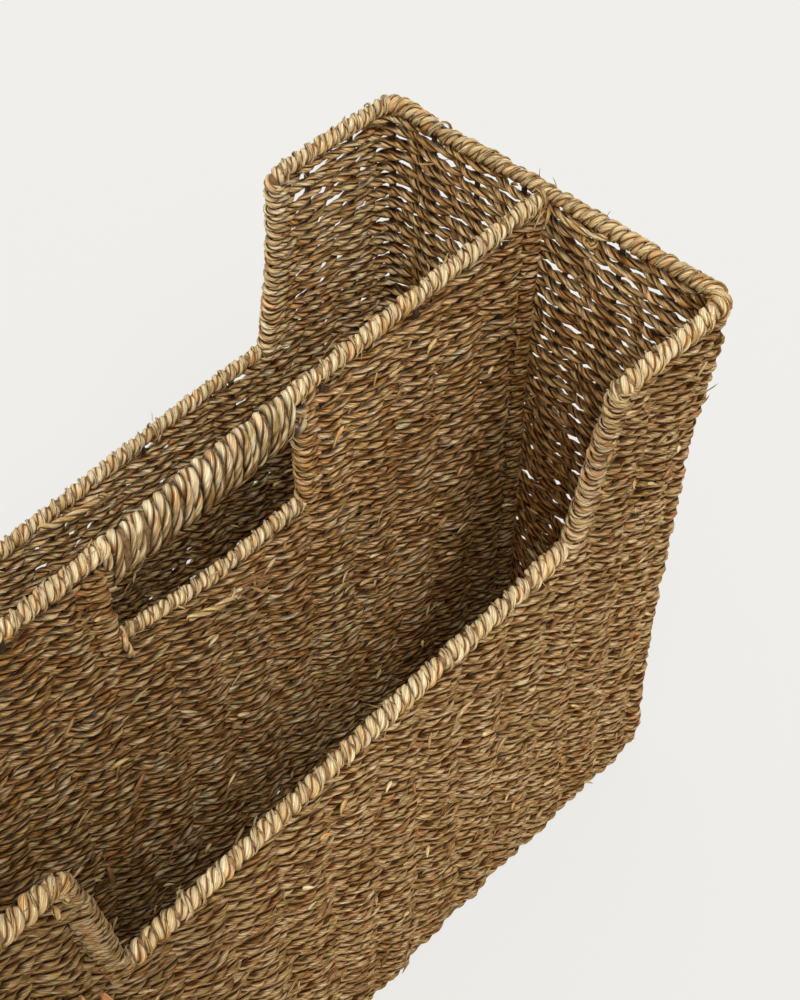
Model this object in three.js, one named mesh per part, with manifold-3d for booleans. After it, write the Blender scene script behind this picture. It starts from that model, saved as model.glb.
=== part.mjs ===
// A rectangular magazine basket of twisted seagrass cord woven over welded steel rods.
// Two compartments stand side by side, with a hand slot under the grip of the divider.
// Millimetres, +Z up, +X along the basket, -Y its front; the origin is the middle of the
// underside. Frame sizes are taken between the centres of the rods.
import * as THREE from "three";
import { mergeVertices } from "three/addons/utils/BufferGeometryUtils.js";
import Module from "manifold-3d";

const wasm = await Module();
wasm.setup();

// Driving sizes of the frame
const frameLength = 450;
const frameWidth = 193;
const rimHeight = 375;
const lowRimHeight = 272;
const lowRimCrown = 8;
const frontEarTop = 69;
const frontEarFoot = 89.5;
const frontEarDrop = 4;
const backEarTop = 82;
const backEarFoot = 96;
const backEarDrop = 1;
const cornerRadius = 10;
const bendRadius = 6;
const railLead = 5;

// Driving sizes of the rods, the cord and the gaps
const rodRadius = 2;
const stakeRadius = 1.5;
const wallThickness = 10;
const baseThickness = 9;
const bindingThickness = 1.9;
const clearance = 0.3;
const sideStakeCount = 14;
const endStakeCount = 6;

// Driving sizes of the hand slot and the grip
const slotLeft = -50.5;
const slotRight = 60.5;
const slotLeftDepth = 68;
const slotRightDepth = 75;
const gripRodDrop = 21;
const gripCoreWidth = 7.7;
const windingThickness = 2.3;
const windingWidth = 4.5;
const windingSpace = 0.5;
const gripCover = 0.9;

// Counts of faces
const rodSides = 6;
const stakeSides = 6;
const sleeveSides = 10;
const rollSides = 10;
const arcSteps = 3;
const crownSteps = 6;
const planSegments = 3;
const loopSteps = 20;
const loopSides = 6;

// Places worked out from the sizes above
const halfLength = frameLength / 2;
const halfWidth = frameWidth / 2;
const halfWall = wallThickness / 2;
const bottomHeight = halfWall;
const sleeveRadius = rodRadius + clearance + bindingThickness;
const seatDrop = sleeveRadius + clearance;
const straightHalf = halfLength - cornerRadius;
const railHalf = straightHalf - railLead;
const stakePitch = frameLength / (sideStakeCount + 1);
const endStakePitch = frameWidth / (endStakeCount + 1);

const steel = new THREE.MeshStandardMaterial({ color: "#4a3524", roughness: 0.55, metalness: 0.6 });
const wallCord = new THREE.MeshStandardMaterial({ color: "#8f7648", roughness: 0.85, metalness: 0 });
const paleStrip = new THREE.MeshStandardMaterial({ color: "#c9a874", roughness: 0.75, metalness: 0 });
const gripCord = new THREE.MeshStandardMaterial({ color: "#c2ab7c", roughness: 0.78, metalness: 0 });

const basket = new THREE.Group();

// A route gives a swept tube its own points, one ring of faces to each.
class Route extends THREE.Curve {
  constructor(points) {
    super();
    this.points = points;
  }

  getPointAt(share) {
    return this.points[Math.round(share * (this.points.length - 1))].clone();
  }

  getTangentAt(share) {
    const last = this.points.length - 1;
    const here = Math.round(share * last);
    const before = this.points[Math.max(here - 1, 0)];
    const after = this.points[Math.min(here + 1, last)];
    return after.clone().sub(before).normalize();
  }
}

function at(x, y, z) {
  return new THREE.Vector3(x, y, z);
}

function solidOf(geometry) {
  geometry.deleteAttribute("normal");
  geometry.deleteAttribute("uv");
  const merged = mergeVertices(geometry);
  const vertProperties = Float32Array.from(merged.attributes.position.array);
  const triVerts = Uint32Array.from(merged.index.array);
  return new wasm.Manifold(new wasm.Mesh({ numProp: 3, vertProperties, triVerts }));
}

function joined(solids) {
  return solids.reduce((whole, solid) => whole.add(solid));
}

function addPiece(name, solid, material) {
  const mesh = solid.getMesh();
  const geometry = new THREE.BufferGeometry();
  geometry.setAttribute("position", new THREE.BufferAttribute(mesh.vertProperties, 3));
  geometry.setIndex(new THREE.BufferAttribute(mesh.triVerts, 1));
  const piece = new THREE.Mesh(geometry, material);
  piece.name = name;
  basket.add(piece);
}

// A round tube through the points of a route.
function tube(points, radius, sides) {
  const section = new THREE.Shape();
  for (let side = 0; side < sides; side++) {
    const angle = (2 * Math.PI * side) / sides;
    const x = radius * Math.cos(angle);
    const y = radius * Math.sin(angle);
    if (side === 0) section.moveTo(x, y);
    else section.lineTo(x, y);
  }
  const extrudePath = new Route(points);
  const steps = points.length - 1;
  return solidOf(new THREE.ExtrudeGeometry(section, { steps, extrudePath }));
}

// Replaces each inner corner of a route by an arc.
function rounded(points, radius) {
  const route = [points[0]];
  for (let i = 1; i < points.length - 1; i++) {
    const corner = points[i];
    const back = points[i - 1].clone().sub(corner).normalize();
    const ahead = points[i + 1].clone().sub(corner).normalize();
    const halfAngle = back.angleTo(ahead) / 2;
    const inward = back.clone().add(ahead).normalize();
    const centre = inward.multiplyScalar(radius / Math.sin(halfAngle)).add(corner);
    const start = back.multiplyScalar(radius / Math.tan(halfAngle)).add(corner).sub(centre);
    const end = ahead.multiplyScalar(radius / Math.tan(halfAngle)).add(corner).sub(centre);
    const axis = start.clone().cross(end).normalize();
    for (let step = 0; step <= arcSteps; step++) {
      const turn = ((Math.PI - 2 * halfAngle) * step) / arcSteps;
      route.push(start.clone().applyAxisAngle(axis, turn).add(centre));
    }
  }
  route.push(points[points.length - 1]);
  return route;
}

// An outline drawn in plan, extruded upwards.
function upright(outline, low, high) {
  const settings = { depth: high - low, bevelEnabled: false, curveSegments: planSegments };
  const geometry = new THREE.ExtrudeGeometry(outline, settings);
  geometry.translate(0, 0, low);
  return solidOf(geometry);
}

// An outline drawn in elevation, seen from the front, extruded towards the front.
function throughWall(outline, back, front) {
  const geometry = new THREE.ExtrudeGeometry(outline, { depth: back - front, bevelEnabled: false });
  geometry.applyMatrix4(new THREE.Matrix4().makeBasis(at(1, 0, 0), at(0, 0, 1), at(0, -1, 0)));
  geometry.translate(0, back, 0);
  return solidOf(geometry);
}

// An outline drawn in cross-section, extruded along the basket.
function alongBasket(outline, from, to) {
  const geometry = new THREE.ExtrudeGeometry(outline, { depth: to - from, bevelEnabled: false });
  geometry.applyMatrix4(new THREE.Matrix4().makeBasis(at(0, 1, 0), at(0, 0, 1), at(1, 0, 0)));
  geometry.translate(from, 0, 0);
  return solidOf(geometry);
}

function outlineOf(pairs) {
  return new THREE.Shape(pairs.map(([x, y]) => new THREE.Vector2(x, y)));
}

function stakeStations(count, pitch) {
  return Array.from({ length: count }, (_, i) => (i - (count - 1) / 2) * pitch);
}

// The long walls differ in their ears alone, and side is -1 at the front and 1 at the back.
const frontWall = { side: -1, top: frontEarTop, foot: frontEarFoot, drop: frontEarDrop };
const backWall = { side: 1, top: backEarTop, foot: backEarFoot, drop: backEarDrop };

function tipX(wall) {
  return halfLength - wall.top;
}

function footX(wall) {
  return halfLength - wall.foot;
}

function tipHeight(wall) {
  return rimHeight - wall.drop;
}

// The low rim rises in a shallow curve between the feet of the ears.
function lowRimAt(wall, x) {
  return lowRimHeight + lowRimCrown * (1 - (x / footX(wall)) ** 2);
}

function crownPairs(wall, half) {
  return Array.from({ length: crownSteps + 1 }, (_, i) => {
    const x = half * ((2 * i) / crownSteps - 1);
    return [x, lowRimAt(wall, x)];
  });
}

// The height of the rim rod of a long wall over any place along it.
function rimRodAt(wall, x) {
  const reach = Math.abs(x);
  if (reach <= footX(wall)) return lowRimAt(wall, x);
  if (reach >= tipX(wall)) {
    return rimHeight - (wall.drop * (railHalf - reach)) / (railHalf - tipX(wall));
  }
  const climb = (reach - footX(wall)) / (tipX(wall) - footX(wall));
  return lowRimHeight + climb * (tipHeight(wall) - lowRimHeight);
}

function longWallFrame(wall, extra) {
  const y = wall.side * halfWidth;
  const end = railHalf - clearance;
  const rimPairs = [
    [-end, rimHeight],
    [-tipX(wall), tipHeight(wall)],
    ...crownPairs(wall, footX(wall)),
    [tipX(wall), tipHeight(wall)],
    [end, rimHeight],
  ];
  const rimPoints = rimPairs.map(([x, z]) => at(x, y, z));
  const firstFoot = 2;
  const bends = [firstFoot - 1, firstFoot, firstFoot + crownSteps, firstFoot + crownSteps + 1];
  const route = roundedAt(rimPoints, bends);
  const rods = [
    tube(route, rodRadius + extra, rodSides),
    tube([at(-end, y, bottomHeight), at(end, y, bottomHeight)], rodRadius + extra, rodSides),
  ];
  for (const x of stakeStations(sideStakeCount, stakePitch)) {
    const stake = [at(x, y, bottomHeight), at(x, y, rimRodAt(wall, x))];
    rods.push(tube(stake, stakeRadius + extra, stakeSides));
  }
  return joined(rods);
}

// Rounds only the named corners of a route.
function roundedAt(points, corners) {
  const route = [];
  points.forEach((point, i) => {
    if (!corners.includes(i)) route.push(point);
    else route.push(...rounded([points[i - 1], point, points[i + 1]], bendRadius).slice(1, -1));
  });
  return route;
}

function endRail(end, height) {
  const corners = [
    at(end * railHalf, -halfWidth, height),
    at(end * halfLength, -halfWidth, height),
    at(end * halfLength, halfWidth, height),
    at(end * railHalf, halfWidth, height),
  ];
  return rounded(corners, cornerRadius);
}

function endFrame(end, extra) {
  const diagonal = cornerRadius * (1 - Math.SQRT1_2);
  const postX = end * (halfLength - diagonal);
  const postY = halfWidth - diagonal;
  const rods = [
    tube(endRail(end, rimHeight), rodRadius + extra, rodSides),
    tube(endRail(end, bottomHeight), rodRadius + extra, rodSides),
  ];
  for (const y of [-postY, postY]) {
    const post = [at(postX, y, bottomHeight), at(postX, y, rimHeight)];
    rods.push(tube(post, rodRadius + extra, rodSides));
  }
  for (const y of stakeStations(endStakeCount, endStakePitch)) {
    const stake = [at(end * halfLength, y, bottomHeight), at(end * halfLength, y, rimHeight)];
    rods.push(tube(stake, stakeRadius + extra, stakeSides));
  }
  return joined(rods);
}

// The divider stands on the woven base, and its slot's lower rod is a little out of level.
const dividerFloor = baseThickness + clearance;
const dividerBottom = dividerFloor + halfWall;
const dividerHalf = halfLength - halfWall - clearance;
const dividerPost = dividerHalf - halfWall;
const gripRodHeight = rimHeight - gripRodDrop;

function slotRodAt(x) {
  const across = (x - slotLeft) / (slotRight - slotLeft);
  return rimHeight - slotLeftDepth - across * (slotRightDepth - slotLeftDepth);
}

function dividerFrame(extra) {
  const radius = rodRadius + extra;
  const topEnd = halfLength - rodRadius - clearance;
  const slotRoute = rounded(
    [
      at(slotLeft, 0, rimHeight),
      at(slotLeft, 0, slotRodAt(slotLeft)),
      at(slotRight, 0, slotRodAt(slotRight)),
      at(slotRight, 0, rimHeight),
    ],
    bendRadius,
  );
  const rods = [
    tube([at(-topEnd, 0, rimHeight), at(topEnd, 0, rimHeight)], radius, rodSides),
    tube([at(-dividerPost, 0, dividerBottom), at(dividerPost, 0, dividerBottom)], radius, rodSides),
    tube(slotRoute, radius, rodSides),
    tube([at(slotLeft, 0, gripRodHeight), at(slotRight, 0, gripRodHeight)], radius, rodSides),
  ];
  for (const x of [-dividerPost, dividerPost]) {
    rods.push(tube([at(x, 0, dividerBottom), at(x, 0, rimHeight)], radius, rodSides));
  }
  for (const x of stakeStations(sideStakeCount, stakePitch)) {
    const inSlot = x > slotLeft && x < slotRight;
    const high = inSlot ? slotRodAt(x) : rimHeight;
    rods.push(tube([at(x, 0, dividerBottom), at(x, 0, high)], stakeRadius + extra, stakeSides));
  }
  return joined(rods);
}

// Wires across the base meet the bottom rods, and one wire along it ties them together.
function baseFrame(extra) {
  const acrossHalf = halfWidth - rodRadius - clearance;
  const alongHalf = halfLength - rodRadius - clearance;
  const routes = stakeStations(sideStakeCount, stakePitch).map((x) => [
    at(x, -acrossHalf, bottomHeight),
    at(x, acrossHalf, bottomHeight),
  ]);
  routes.push([at(-alongHalf, 0, bottomHeight), at(alongHalf, 0, bottomHeight)]);
  return joined(routes.map((route) => tube(route, stakeRadius + extra, stakeSides)));
}

// A long wall carries the rounded corners of the basket and a roll of cord up each ear's edge.
function longWallPlan(side) {
  const outer = cornerRadius + halfWall;
  const inner = cornerRadius - halfWall;
  const turnY = halfWidth - cornerRadius;
  const plan = new THREE.Shape();
  plan.absarc(-straightHalf, -turnY, outer, Math.PI, 1.5 * Math.PI, false);
  plan.absarc(straightHalf, -turnY, outer, 1.5 * Math.PI, 2 * Math.PI, false);
  plan.absarc(straightHalf, -turnY, inner, 2 * Math.PI, 1.5 * Math.PI, true);
  plan.absarc(-straightHalf, -turnY, inner, 1.5 * Math.PI, Math.PI, true);
  plan.closePath();
  if (side < 0) return plan;
  const points = plan.getPoints(planSegments).map((point) => new THREE.Vector2(point.x, -point.y));
  return new THREE.Shape(points);
}

function longWallElevation(wall) {
  const reach = halfLength + wallThickness;
  const crown = crownPairs(wall, footX(wall)).map(([x, z]) => [x, z - seatDrop]);
  return outlineOf([
    [-reach, 0],
    [reach, 0],
    [reach, rimHeight - seatDrop],
    [railHalf, rimHeight - seatDrop],
    [tipX(wall), tipHeight(wall) - seatDrop],
    ...crown.reverse(),
    [-tipX(wall), tipHeight(wall) - seatDrop],
    [-railHalf, rimHeight - seatDrop],
    [-reach, rimHeight - seatDrop],
  ]);
}

function earRoll(wall, end) {
  const y = wall.side * halfWidth;
  const slant = new THREE.Vector2(tipX(wall) - footX(wall), tipHeight(wall) - lowRimHeight);
  const leanShare = slant.x / slant.y;
  const sine = slant.x / slant.length();
  const top = tipHeight(wall) - seatDrop - halfWall * sine;
  const low = lowRimHeight - halfWall;
  const xAt = (z) => end * (footX(wall) + (z - lowRimHeight) * leanShare);
  return tube([at(xAt(low), y, low), at(xAt(top), y, top)], halfWall, rollSides);
}

function longWallWeave(wall, holes) {
  const front = wall.side * halfWidth - cornerRadius - wallThickness;
  const back = wall.side * halfWidth + cornerRadius + wallThickness;
  const plate = upright(longWallPlan(wall.side), 0, rimHeight);
  const panel = plate.intersect(throughWall(longWallElevation(wall), back, front));
  const rolls = joined([earRoll(wall, -1), earRoll(wall, 1)]);
  return panel.add(rolls).subtract(holes);
}

function endWeave(end, holes) {
  const inner = end * (halfLength - halfWall);
  const outer = end * (halfLength + halfWall);
  const half = halfWidth - cornerRadius - clearance;
  const plan = outlineOf([[inner, -half], [outer, -half], [outer, half], [inner, half]]);
  return upright(plan, 0, rimHeight - seatDrop).subtract(holes);
}

function dividerWeave(holes) {
  const top = rimHeight - seatDrop;
  const elevation = outlineOf([
    [-dividerHalf, dividerFloor],
    [dividerHalf, dividerFloor],
    [dividerHalf, top],
    [slotRight, top],
    [slotRight, slotRodAt(slotRight) - seatDrop],
    [slotLeft, slotRodAt(slotLeft) - seatDrop],
    [slotLeft, top],
    [-dividerHalf, top],
  ]);
  const panel = throughWall(elevation, halfWall, -halfWall);
  const rolls = [slotLeft, slotRight].map((x) =>
    tube([at(x, 0, slotRodAt(x) - halfWall), at(x, 0, top)], halfWall, rollSides),
  );
  return panel.add(joined(rolls)).subtract(holes);
}

function baseWeave(holes) {
  const x = halfLength - halfWall - clearance;
  const y = halfWidth - halfWall - clearance;
  const radius = cornerRadius - halfWall - clearance;
  const plan = new THREE.Shape();
  plan.absarc(x - radius, y - radius, radius, 0, Math.PI / 2, false);
  plan.absarc(radius - x, y - radius, radius, Math.PI / 2, Math.PI, false);
  plan.absarc(radius - x, radius - y, radius, Math.PI, 1.5 * Math.PI, false);
  plan.absarc(x - radius, radius - y, radius, 1.5 * Math.PI, 2 * Math.PI, false);
  return upright(plan, 0, baseThickness).subtract(holes);
}

function sleeve(points, holes) {
  return tube(points, sleeveRadius, sleeveSides).subtract(holes);
}

function earBinding(wall, end, holes) {
  const y = wall.side * halfWidth;
  const from = railHalf - clearance;
  const to = tipX(wall) - sleeveRadius;
  return sleeve([at(end * from, y, rimRodAt(wall, from)), at(end * to, y, tipHeight(wall))], holes);
}

function lowRimBinding(wall, holes) {
  const slant = new THREE.Vector2(tipX(wall) - footX(wall), tipHeight(wall) - lowRimHeight);
  const cosine = slant.y / slant.length();
  const sine = slant.x / slant.length();
  const half = footX(wall) - (halfWall + sleeveRadius * sine) / cosine - clearance;
  const route = crownPairs(wall, half).map(([x, z]) => at(x, wall.side * halfWidth, z));
  return sleeve(route, holes);
}

function dividerBinding(end, grip, holes) {
  return sleeve([at(end * (halfLength - seatDrop), 0, rimHeight), at(grip, 0, rimHeight)], holes);
}

function slotBinding(holes) {
  const left = slotLeft + halfWall + clearance;
  const right = slotRight - halfWall - clearance;
  return sleeve([at(left, 0, slotRodAt(left)), at(right, 0, slotRodAt(right))], holes);
}

// The grip: a bundle of grass between the slot's two upper rods, wound with a pale cord.
const gripStart = slotLeft + halfWall + clearance;
const gripEnd = slotRight - halfWall - clearance;
const gripCentre = (rimHeight + gripRodHeight) / 2;
const windingHalfY = gripCoreWidth / 2 + clearance + windingThickness / 2;
const windingHalfZ = gripRodDrop / 2 + rodRadius + gripCover + windingThickness / 2;

function gripCore(holes) {
  const halfY = gripCoreWidth / 2;
  const halfZ = windingHalfZ - windingThickness / 2 - clearance;
  const flatZ = gripRodDrop / 2 - clearance;
  const flatAngle = Math.asin(flatZ / halfZ);
  const pairs = [];
  for (const turn of [0, Math.PI]) {
    for (let step = -arcSteps; step <= arcSteps; step++) {
      const angle = turn + (flatAngle * step) / arcSteps;
      pairs.push([halfY * Math.cos(angle), gripCentre + halfZ * Math.sin(angle)]);
    }
  }
  return alongBasket(outlineOf(pairs), gripStart, gripEnd).subtract(holes);
}

// One unbroken flattened tube, wound in an upright oval round the grip.
function gripWinding() {
  const run = gripEnd - gripStart - windingWidth;
  const loops = Math.floor(run / (windingWidth + windingSpace));
  const pitch = run / loops;
  const rings = loops * loopSteps;
  const points = [];
  for (let ring = 0; ring <= rings; ring++) {
    const angle = (2 * Math.PI * ring) / loopSteps - Math.PI / 2;
    const along = gripStart + windingWidth / 2 + (pitch * ring) / loopSteps;
    const centre = at(along, windingHalfY * Math.cos(angle), gripCentre + windingHalfZ * Math.sin(angle));
    const outward = at(0, Math.cos(angle) / windingHalfY, Math.sin(angle) / windingHalfZ).normalize();
    const forward = at(
      pitch / (2 * Math.PI),
      -windingHalfY * Math.sin(angle),
      windingHalfZ * Math.cos(angle),
    ).normalize();
    const across = forward.clone().cross(outward).normalize();
    for (let side = 0; side < loopSides; side++) {
      const turn = (2 * Math.PI * side) / loopSides;
      const point = centre.clone();
      point.addScaledVector(across, (windingWidth / 2) * Math.cos(turn));
      point.addScaledVector(outward, (windingThickness / 2) * Math.sin(turn));
      points.push(point);
    }
  }
  console.log(`grip winding: ${loops} loops, least gap to itself ${leastGap(points).toFixed(2)} mm`);
  return solidOf(tubeGeometry(points, rings));
}

// Joins rings of points to one closed tube.
function tubeGeometry(points, rings) {
  const faces = [];
  for (let ring = 0; ring < rings; ring++) {
    for (let side = 0; side < loopSides; side++) {
      const next = (side + 1) % loopSides;
      const a = ring * loopSides + side;
      const b = ring * loopSides + next;
      faces.push(a, a + loopSides, b, b, a + loopSides, b + loopSides);
    }
  }
  const last = rings * loopSides;
  for (let side = 1; side < loopSides - 1; side++) {
    faces.push(0, side, side + 1, last, last + side + 1, last + side);
  }
  const geometry = new THREE.BufferGeometry().setFromPoints(points);
  geometry.setIndex(faces);
  return geometry;
}

// The least distance between points of the winding that lie half a loop or more apart.
function leastGap(points) {
  const loop = loopSteps * loopSides;
  let least = Infinity;
  for (let i = 0; i < points.length; i++) {
    const last = Math.min(points.length, i + loop * 2);
    for (let j = i + loop / 2; j < last; j++) {
      least = Math.min(least, points[i].distanceTo(points[j]));
    }
  }
  return least;
}

// Frames, and the same frames grown by the clearance to cut their channels
const framesOf = (extra) => ({
  base: baseFrame(extra),
  front: longWallFrame(frontWall, extra),
  back: longWallFrame(backWall, extra),
  left: endFrame(-1, extra),
  right: endFrame(1, extra),
  divider: dividerFrame(extra),
});
const frames = framesOf(0);
const holes = framesOf(clearance);
const endHoles = joined([holes.left, holes.right]);
const frontHoles = joined([holes.front, endHoles, holes.base]);
const backHoles = joined([holes.back, endHoles, holes.base]);
const leftHoles = joined([holes.left, holes.base, holes.divider]);
const rightHoles = joined([holes.right, holes.base, holes.divider]);

addPiece("base_frame", frames.base, steel);
addPiece("front_frame", frames.front, steel);
addPiece("back_frame", frames.back, steel);
addPiece("left_end_frame", frames.left, steel);
addPiece("right_end_frame", frames.right, steel);
addPiece("divider_frame", frames.divider, steel);

addPiece("base_weave", baseWeave(holes.base), wallCord);
addPiece("front_weave", longWallWeave(frontWall, frontHoles), wallCord);
addPiece("back_weave", longWallWeave(backWall, backHoles), wallCord);
addPiece("left_end_weave", endWeave(-1, leftHoles), wallCord);
addPiece("right_end_weave", endWeave(1, rightHoles), wallCord);
addPiece("divider_weave", dividerWeave(holes.divider), wallCord);

addPiece("left_end_rim_binding", sleeve(endRail(-1, rimHeight), leftHoles), paleStrip);
addPiece("right_end_rim_binding", sleeve(endRail(1, rimHeight), rightHoles), paleStrip);
addPiece("front_left_ear_binding", earBinding(frontWall, -1, frontHoles), paleStrip);
addPiece("front_right_ear_binding", earBinding(frontWall, 1, frontHoles), paleStrip);
addPiece("back_left_ear_binding", earBinding(backWall, -1, backHoles), paleStrip);
addPiece("back_right_ear_binding", earBinding(backWall, 1, backHoles), paleStrip);
addPiece("front_low_rim_binding", lowRimBinding(frontWall, holes.front), paleStrip);
addPiece("back_low_rim_binding", lowRimBinding(backWall, holes.back), paleStrip);
addPiece("divider_left_rim_binding", dividerBinding(-1, gripStart - clearance, holes.divider), paleStrip);
addPiece("divider_right_rim_binding", dividerBinding(1, gripEnd + clearance, holes.divider), paleStrip);
addPiece("hand_slot_rim_binding", slotBinding(holes.divider), paleStrip);

addPiece("grip_core", gripCore(holes.divider), wallCord);
addPiece("grip_winding", gripWinding(), gripCord);

export default basket;
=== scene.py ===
import math
from functools import partial

import bmesh
import bpy
import numpy as np
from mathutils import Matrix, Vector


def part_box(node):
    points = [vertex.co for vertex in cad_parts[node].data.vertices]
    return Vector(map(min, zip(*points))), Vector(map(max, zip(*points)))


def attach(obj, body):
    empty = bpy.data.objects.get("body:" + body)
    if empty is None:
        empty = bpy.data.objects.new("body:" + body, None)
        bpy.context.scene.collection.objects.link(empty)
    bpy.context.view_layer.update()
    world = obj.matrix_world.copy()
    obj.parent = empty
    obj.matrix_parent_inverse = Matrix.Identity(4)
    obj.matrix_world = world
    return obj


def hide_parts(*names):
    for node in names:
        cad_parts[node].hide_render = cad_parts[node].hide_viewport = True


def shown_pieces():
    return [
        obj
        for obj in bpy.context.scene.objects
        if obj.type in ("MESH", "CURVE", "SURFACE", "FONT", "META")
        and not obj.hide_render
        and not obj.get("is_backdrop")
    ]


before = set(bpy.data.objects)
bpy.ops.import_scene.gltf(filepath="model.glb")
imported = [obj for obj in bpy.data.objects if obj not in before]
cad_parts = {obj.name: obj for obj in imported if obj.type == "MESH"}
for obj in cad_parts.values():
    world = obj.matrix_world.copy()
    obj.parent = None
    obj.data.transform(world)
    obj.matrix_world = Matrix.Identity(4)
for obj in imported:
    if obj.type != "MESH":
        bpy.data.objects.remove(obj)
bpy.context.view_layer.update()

scene = bpy.context.scene
mm = 0.001  # routes are worked out in millimetres and laid in metres


def boxOf(node):
    low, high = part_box(node)
    return np.array(low) / mm, np.array(high) / mm


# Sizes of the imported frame, between the centres of its rods
rodRadius = 2.0
stakeRadius = 1.5
cornerRadius = 10.0
stakes = 14
endStakes = 6
postToEdge = 5.0  # from a post of the divider to the end of its weave
rodToBinding = 5.3  # from an upright rod of the slot to the end of its rim's binding
halfLength = boxOf("right_end_frame")[1][0] - rodRadius
halfWidth = boxOf("back_frame")[1][1] - rodRadius
rimHeight = boxOf("divider_frame")[1][2] - rodRadius
bottomHeight = boxOf("front_frame")[0][2] + rodRadius
dividerFloor = boxOf("divider_weave")[0][2]
dividerPost = boxOf("divider_weave")[1][0] - postToEdge
straightHalf = halfLength - cornerRadius
stakePitch = 2 * halfLength / (stakes + 1)
endStakePitch = 2 * halfWidth / (endStakes + 1)
lowRim = {"height": 272.0, "crown": 8.0, "crownFrom": halfWidth - 12.0, "crownTo": halfWidth - 9.0}
frontEar = {"side": -1, "tip": halfLength - 69.0, "foot": halfLength - 89.5, "tipHeight": rimHeight - 4.0,
            "openness": 0.03, "rub": 2.4}
backEar = {"side": 1, "tip": halfLength - 82.0, "foot": halfLength - 96.0, "tipHeight": rimHeight - 1.0,
           "openness": 0.15, "rub": 1.4}
slot = {
    "left": boxOf("hand_slot_rim_binding")[0][0] - rodToBinding,
    "right": boxOf("hand_slot_rim_binding")[1][0] + rodToBinding,
    "leftDepth": 68.0,
    "rightDepth": 75.0,
}
gripLow, gripHigh = boxOf("grip_winding")


def slotRodAt(x):
    share = (x - slot["left"]) / (slot["right"] - slot["left"])
    return rimHeight - slot["leftDepth"] - share * (slot["rightDepth"] - slot["leftDepth"])


def crownAt(ear, x):
    return lowRim["crown"] * np.clip(1 - (x / ear["foot"]) ** 2, 0, 1)


def edgeRodAt(ear, z):
    climb = (z - lowRim["height"]) / (ear["tipHeight"] - lowRim["height"])
    return ear["foot"] + climb * (ear["tip"] - ear["foot"])


# The camera stands where the photograph was taken from
view = {"at": (-0.29954, -0.38737, 0.99828), "turn": (36.980, -0.014, -47.604), "lens": 69.117,
        "sensor": 36.0, "nearest": 0.01}


def addCamera():
    data = bpy.data.cameras.new("camera")
    data.lens = view["lens"]
    data.sensor_width = view["sensor"]
    data.clip_start = view["nearest"]
    camera = bpy.data.objects.new("camera", data)
    camera.location = view["at"]
    camera.rotation_euler = [math.radians(a) for a in view["turn"]]
    scene.collection.objects.link(camera)
    scene.camera = camera


addCamera()


def smoothStep(low, high, value):
    share = np.clip((value - low) / (high - low), 0, 1)
    return share * share * (3 - 2 * share)


# Nothing woven by hand is true: each pull moves the weave and the rods near a place.
# Its place, its spread and its push are in mm.
handPulls = {
    "front right corner leans out": ((225, -96, 372), (46, 60, 42), (1.0, -6.4, 0)),
    "its post bows out": ((225, -96, 320), (30, 30, 90), (1.0, -1.3, 0)),
    "foot of the front right corner": ((228, -98, 0), (70, 35, 34), (-2.5, -5.0, 0)),
    "low rim climbs at its right end": ((136, -96, 272), (24, 25, 34), (0, 0, 6.0)),
    "low rim climbs at its left end": ((-137, -96, 272), (32, 25, 46), (-8.8, 0, 5.6)),
    "front left ear stands higher": ((-160, -96, 372), (45, 25, 40), (-2.4, 0, 4.6)),
    "slot is longer to the left": ((-52, 0, 350), (22, 15, 48), (-6.6, 0, 0)),
    "slot rim climbs to the left": ((-54, 0, 305), (22, 15, 22), (0, 0, 6.0)),
    "slot rim sags": ((8, 0, 303), (26, 15, 20), (0, 0, -3.4)),
    "back low rim is flatter": ((0, 96, 280), (66, 25, 42), (0, 0, -5.6)),
    "back right ear stands higher": ((144, 96, 376), (27, 20, 20), (0, 0, 4.6)),
    "back right edge is straighter": ((133, 96, 322), (15, 20, 36), (3.6, 0, 0)),
    "right end rim dips": ((225, 66, 374), (15, 24, 26), (0, 0, -3.4)),
}


def handMade(points):
    moved = np.zeros_like(points)
    for place, spread, push in handPulls.values():
        apart = (points - np.array(place)) / np.array(spread)
        moved += np.exp(-0.5 * (apart**2).sum(1))[:, None] * np.array(push, float)
    return points + moved


# Node helpers: a value is a number, a colour or the output of another node
def feed(tree, socket, value):
    if hasattr(value, "links"):
        tree.links.new(value, socket)
    else:
        socket.default_value = value


def addNode(tree, kind, settings=None, values=None):
    made = tree.nodes.new(kind)
    for key, value in (settings or {}).items():
        setattr(made, key, value)
    for key, value in (values or {}).items():
        feed(tree, made.inputs[key], value)
    return made


def mathNode(tree, operation, *values):
    return addNode(tree, "ShaderNodeMath", {"operation": operation}, dict(enumerate(values))).outputs[0]


def dotNode(tree, vector, weights):
    settings = {"operation": "DOT_PRODUCT"}
    return addNode(tree, "ShaderNodeVectorMath", settings, {0: vector, 1: weights}).outputs["Value"]


# Multiplies a colour in by a share, for the grass's own tints and for painted shade
def stainNode(tree, share, colour, tintAndShade):
    settings = {"data_type": "RGBA", "blend_type": "MULTIPLY"}
    return addNode(tree, "ShaderNodeMix", settings, {0: share, 6: colour, 7: (*tintAndShade, 1)}).outputs[2]


def rangeNode(tree, value, fromLow, fromHigh, toLow, toHigh, smooth=True):
    kind = "SMOOTHSTEP" if smooth else "LINEAR"
    values = dict(enumerate((value, fromLow, fromHigh, toLow, toHigh)))
    return addNode(tree, "ShaderNodeMapRange", {"interpolation_type": kind}, values).outputs[0]


def rampNode(tree, value, stops):
    made = addNode(tree, "ShaderNodeValToRGB", None, {0: value})
    ramp = made.color_ramp
    while len(ramp.elements) < len(stops):
        ramp.elements.new(0.5)
    for element, (place, colour) in zip(ramp.elements, stops):
        element.position = place
        element.color = (*colour, 1)
    return made.outputs[0]


def newMaterial(name):
    material = bpy.data.materials.new(name)
    material.use_nodes = True
    tree = material.node_tree
    return material, tree, tree.nodes["Principled BSDF"]


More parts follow.
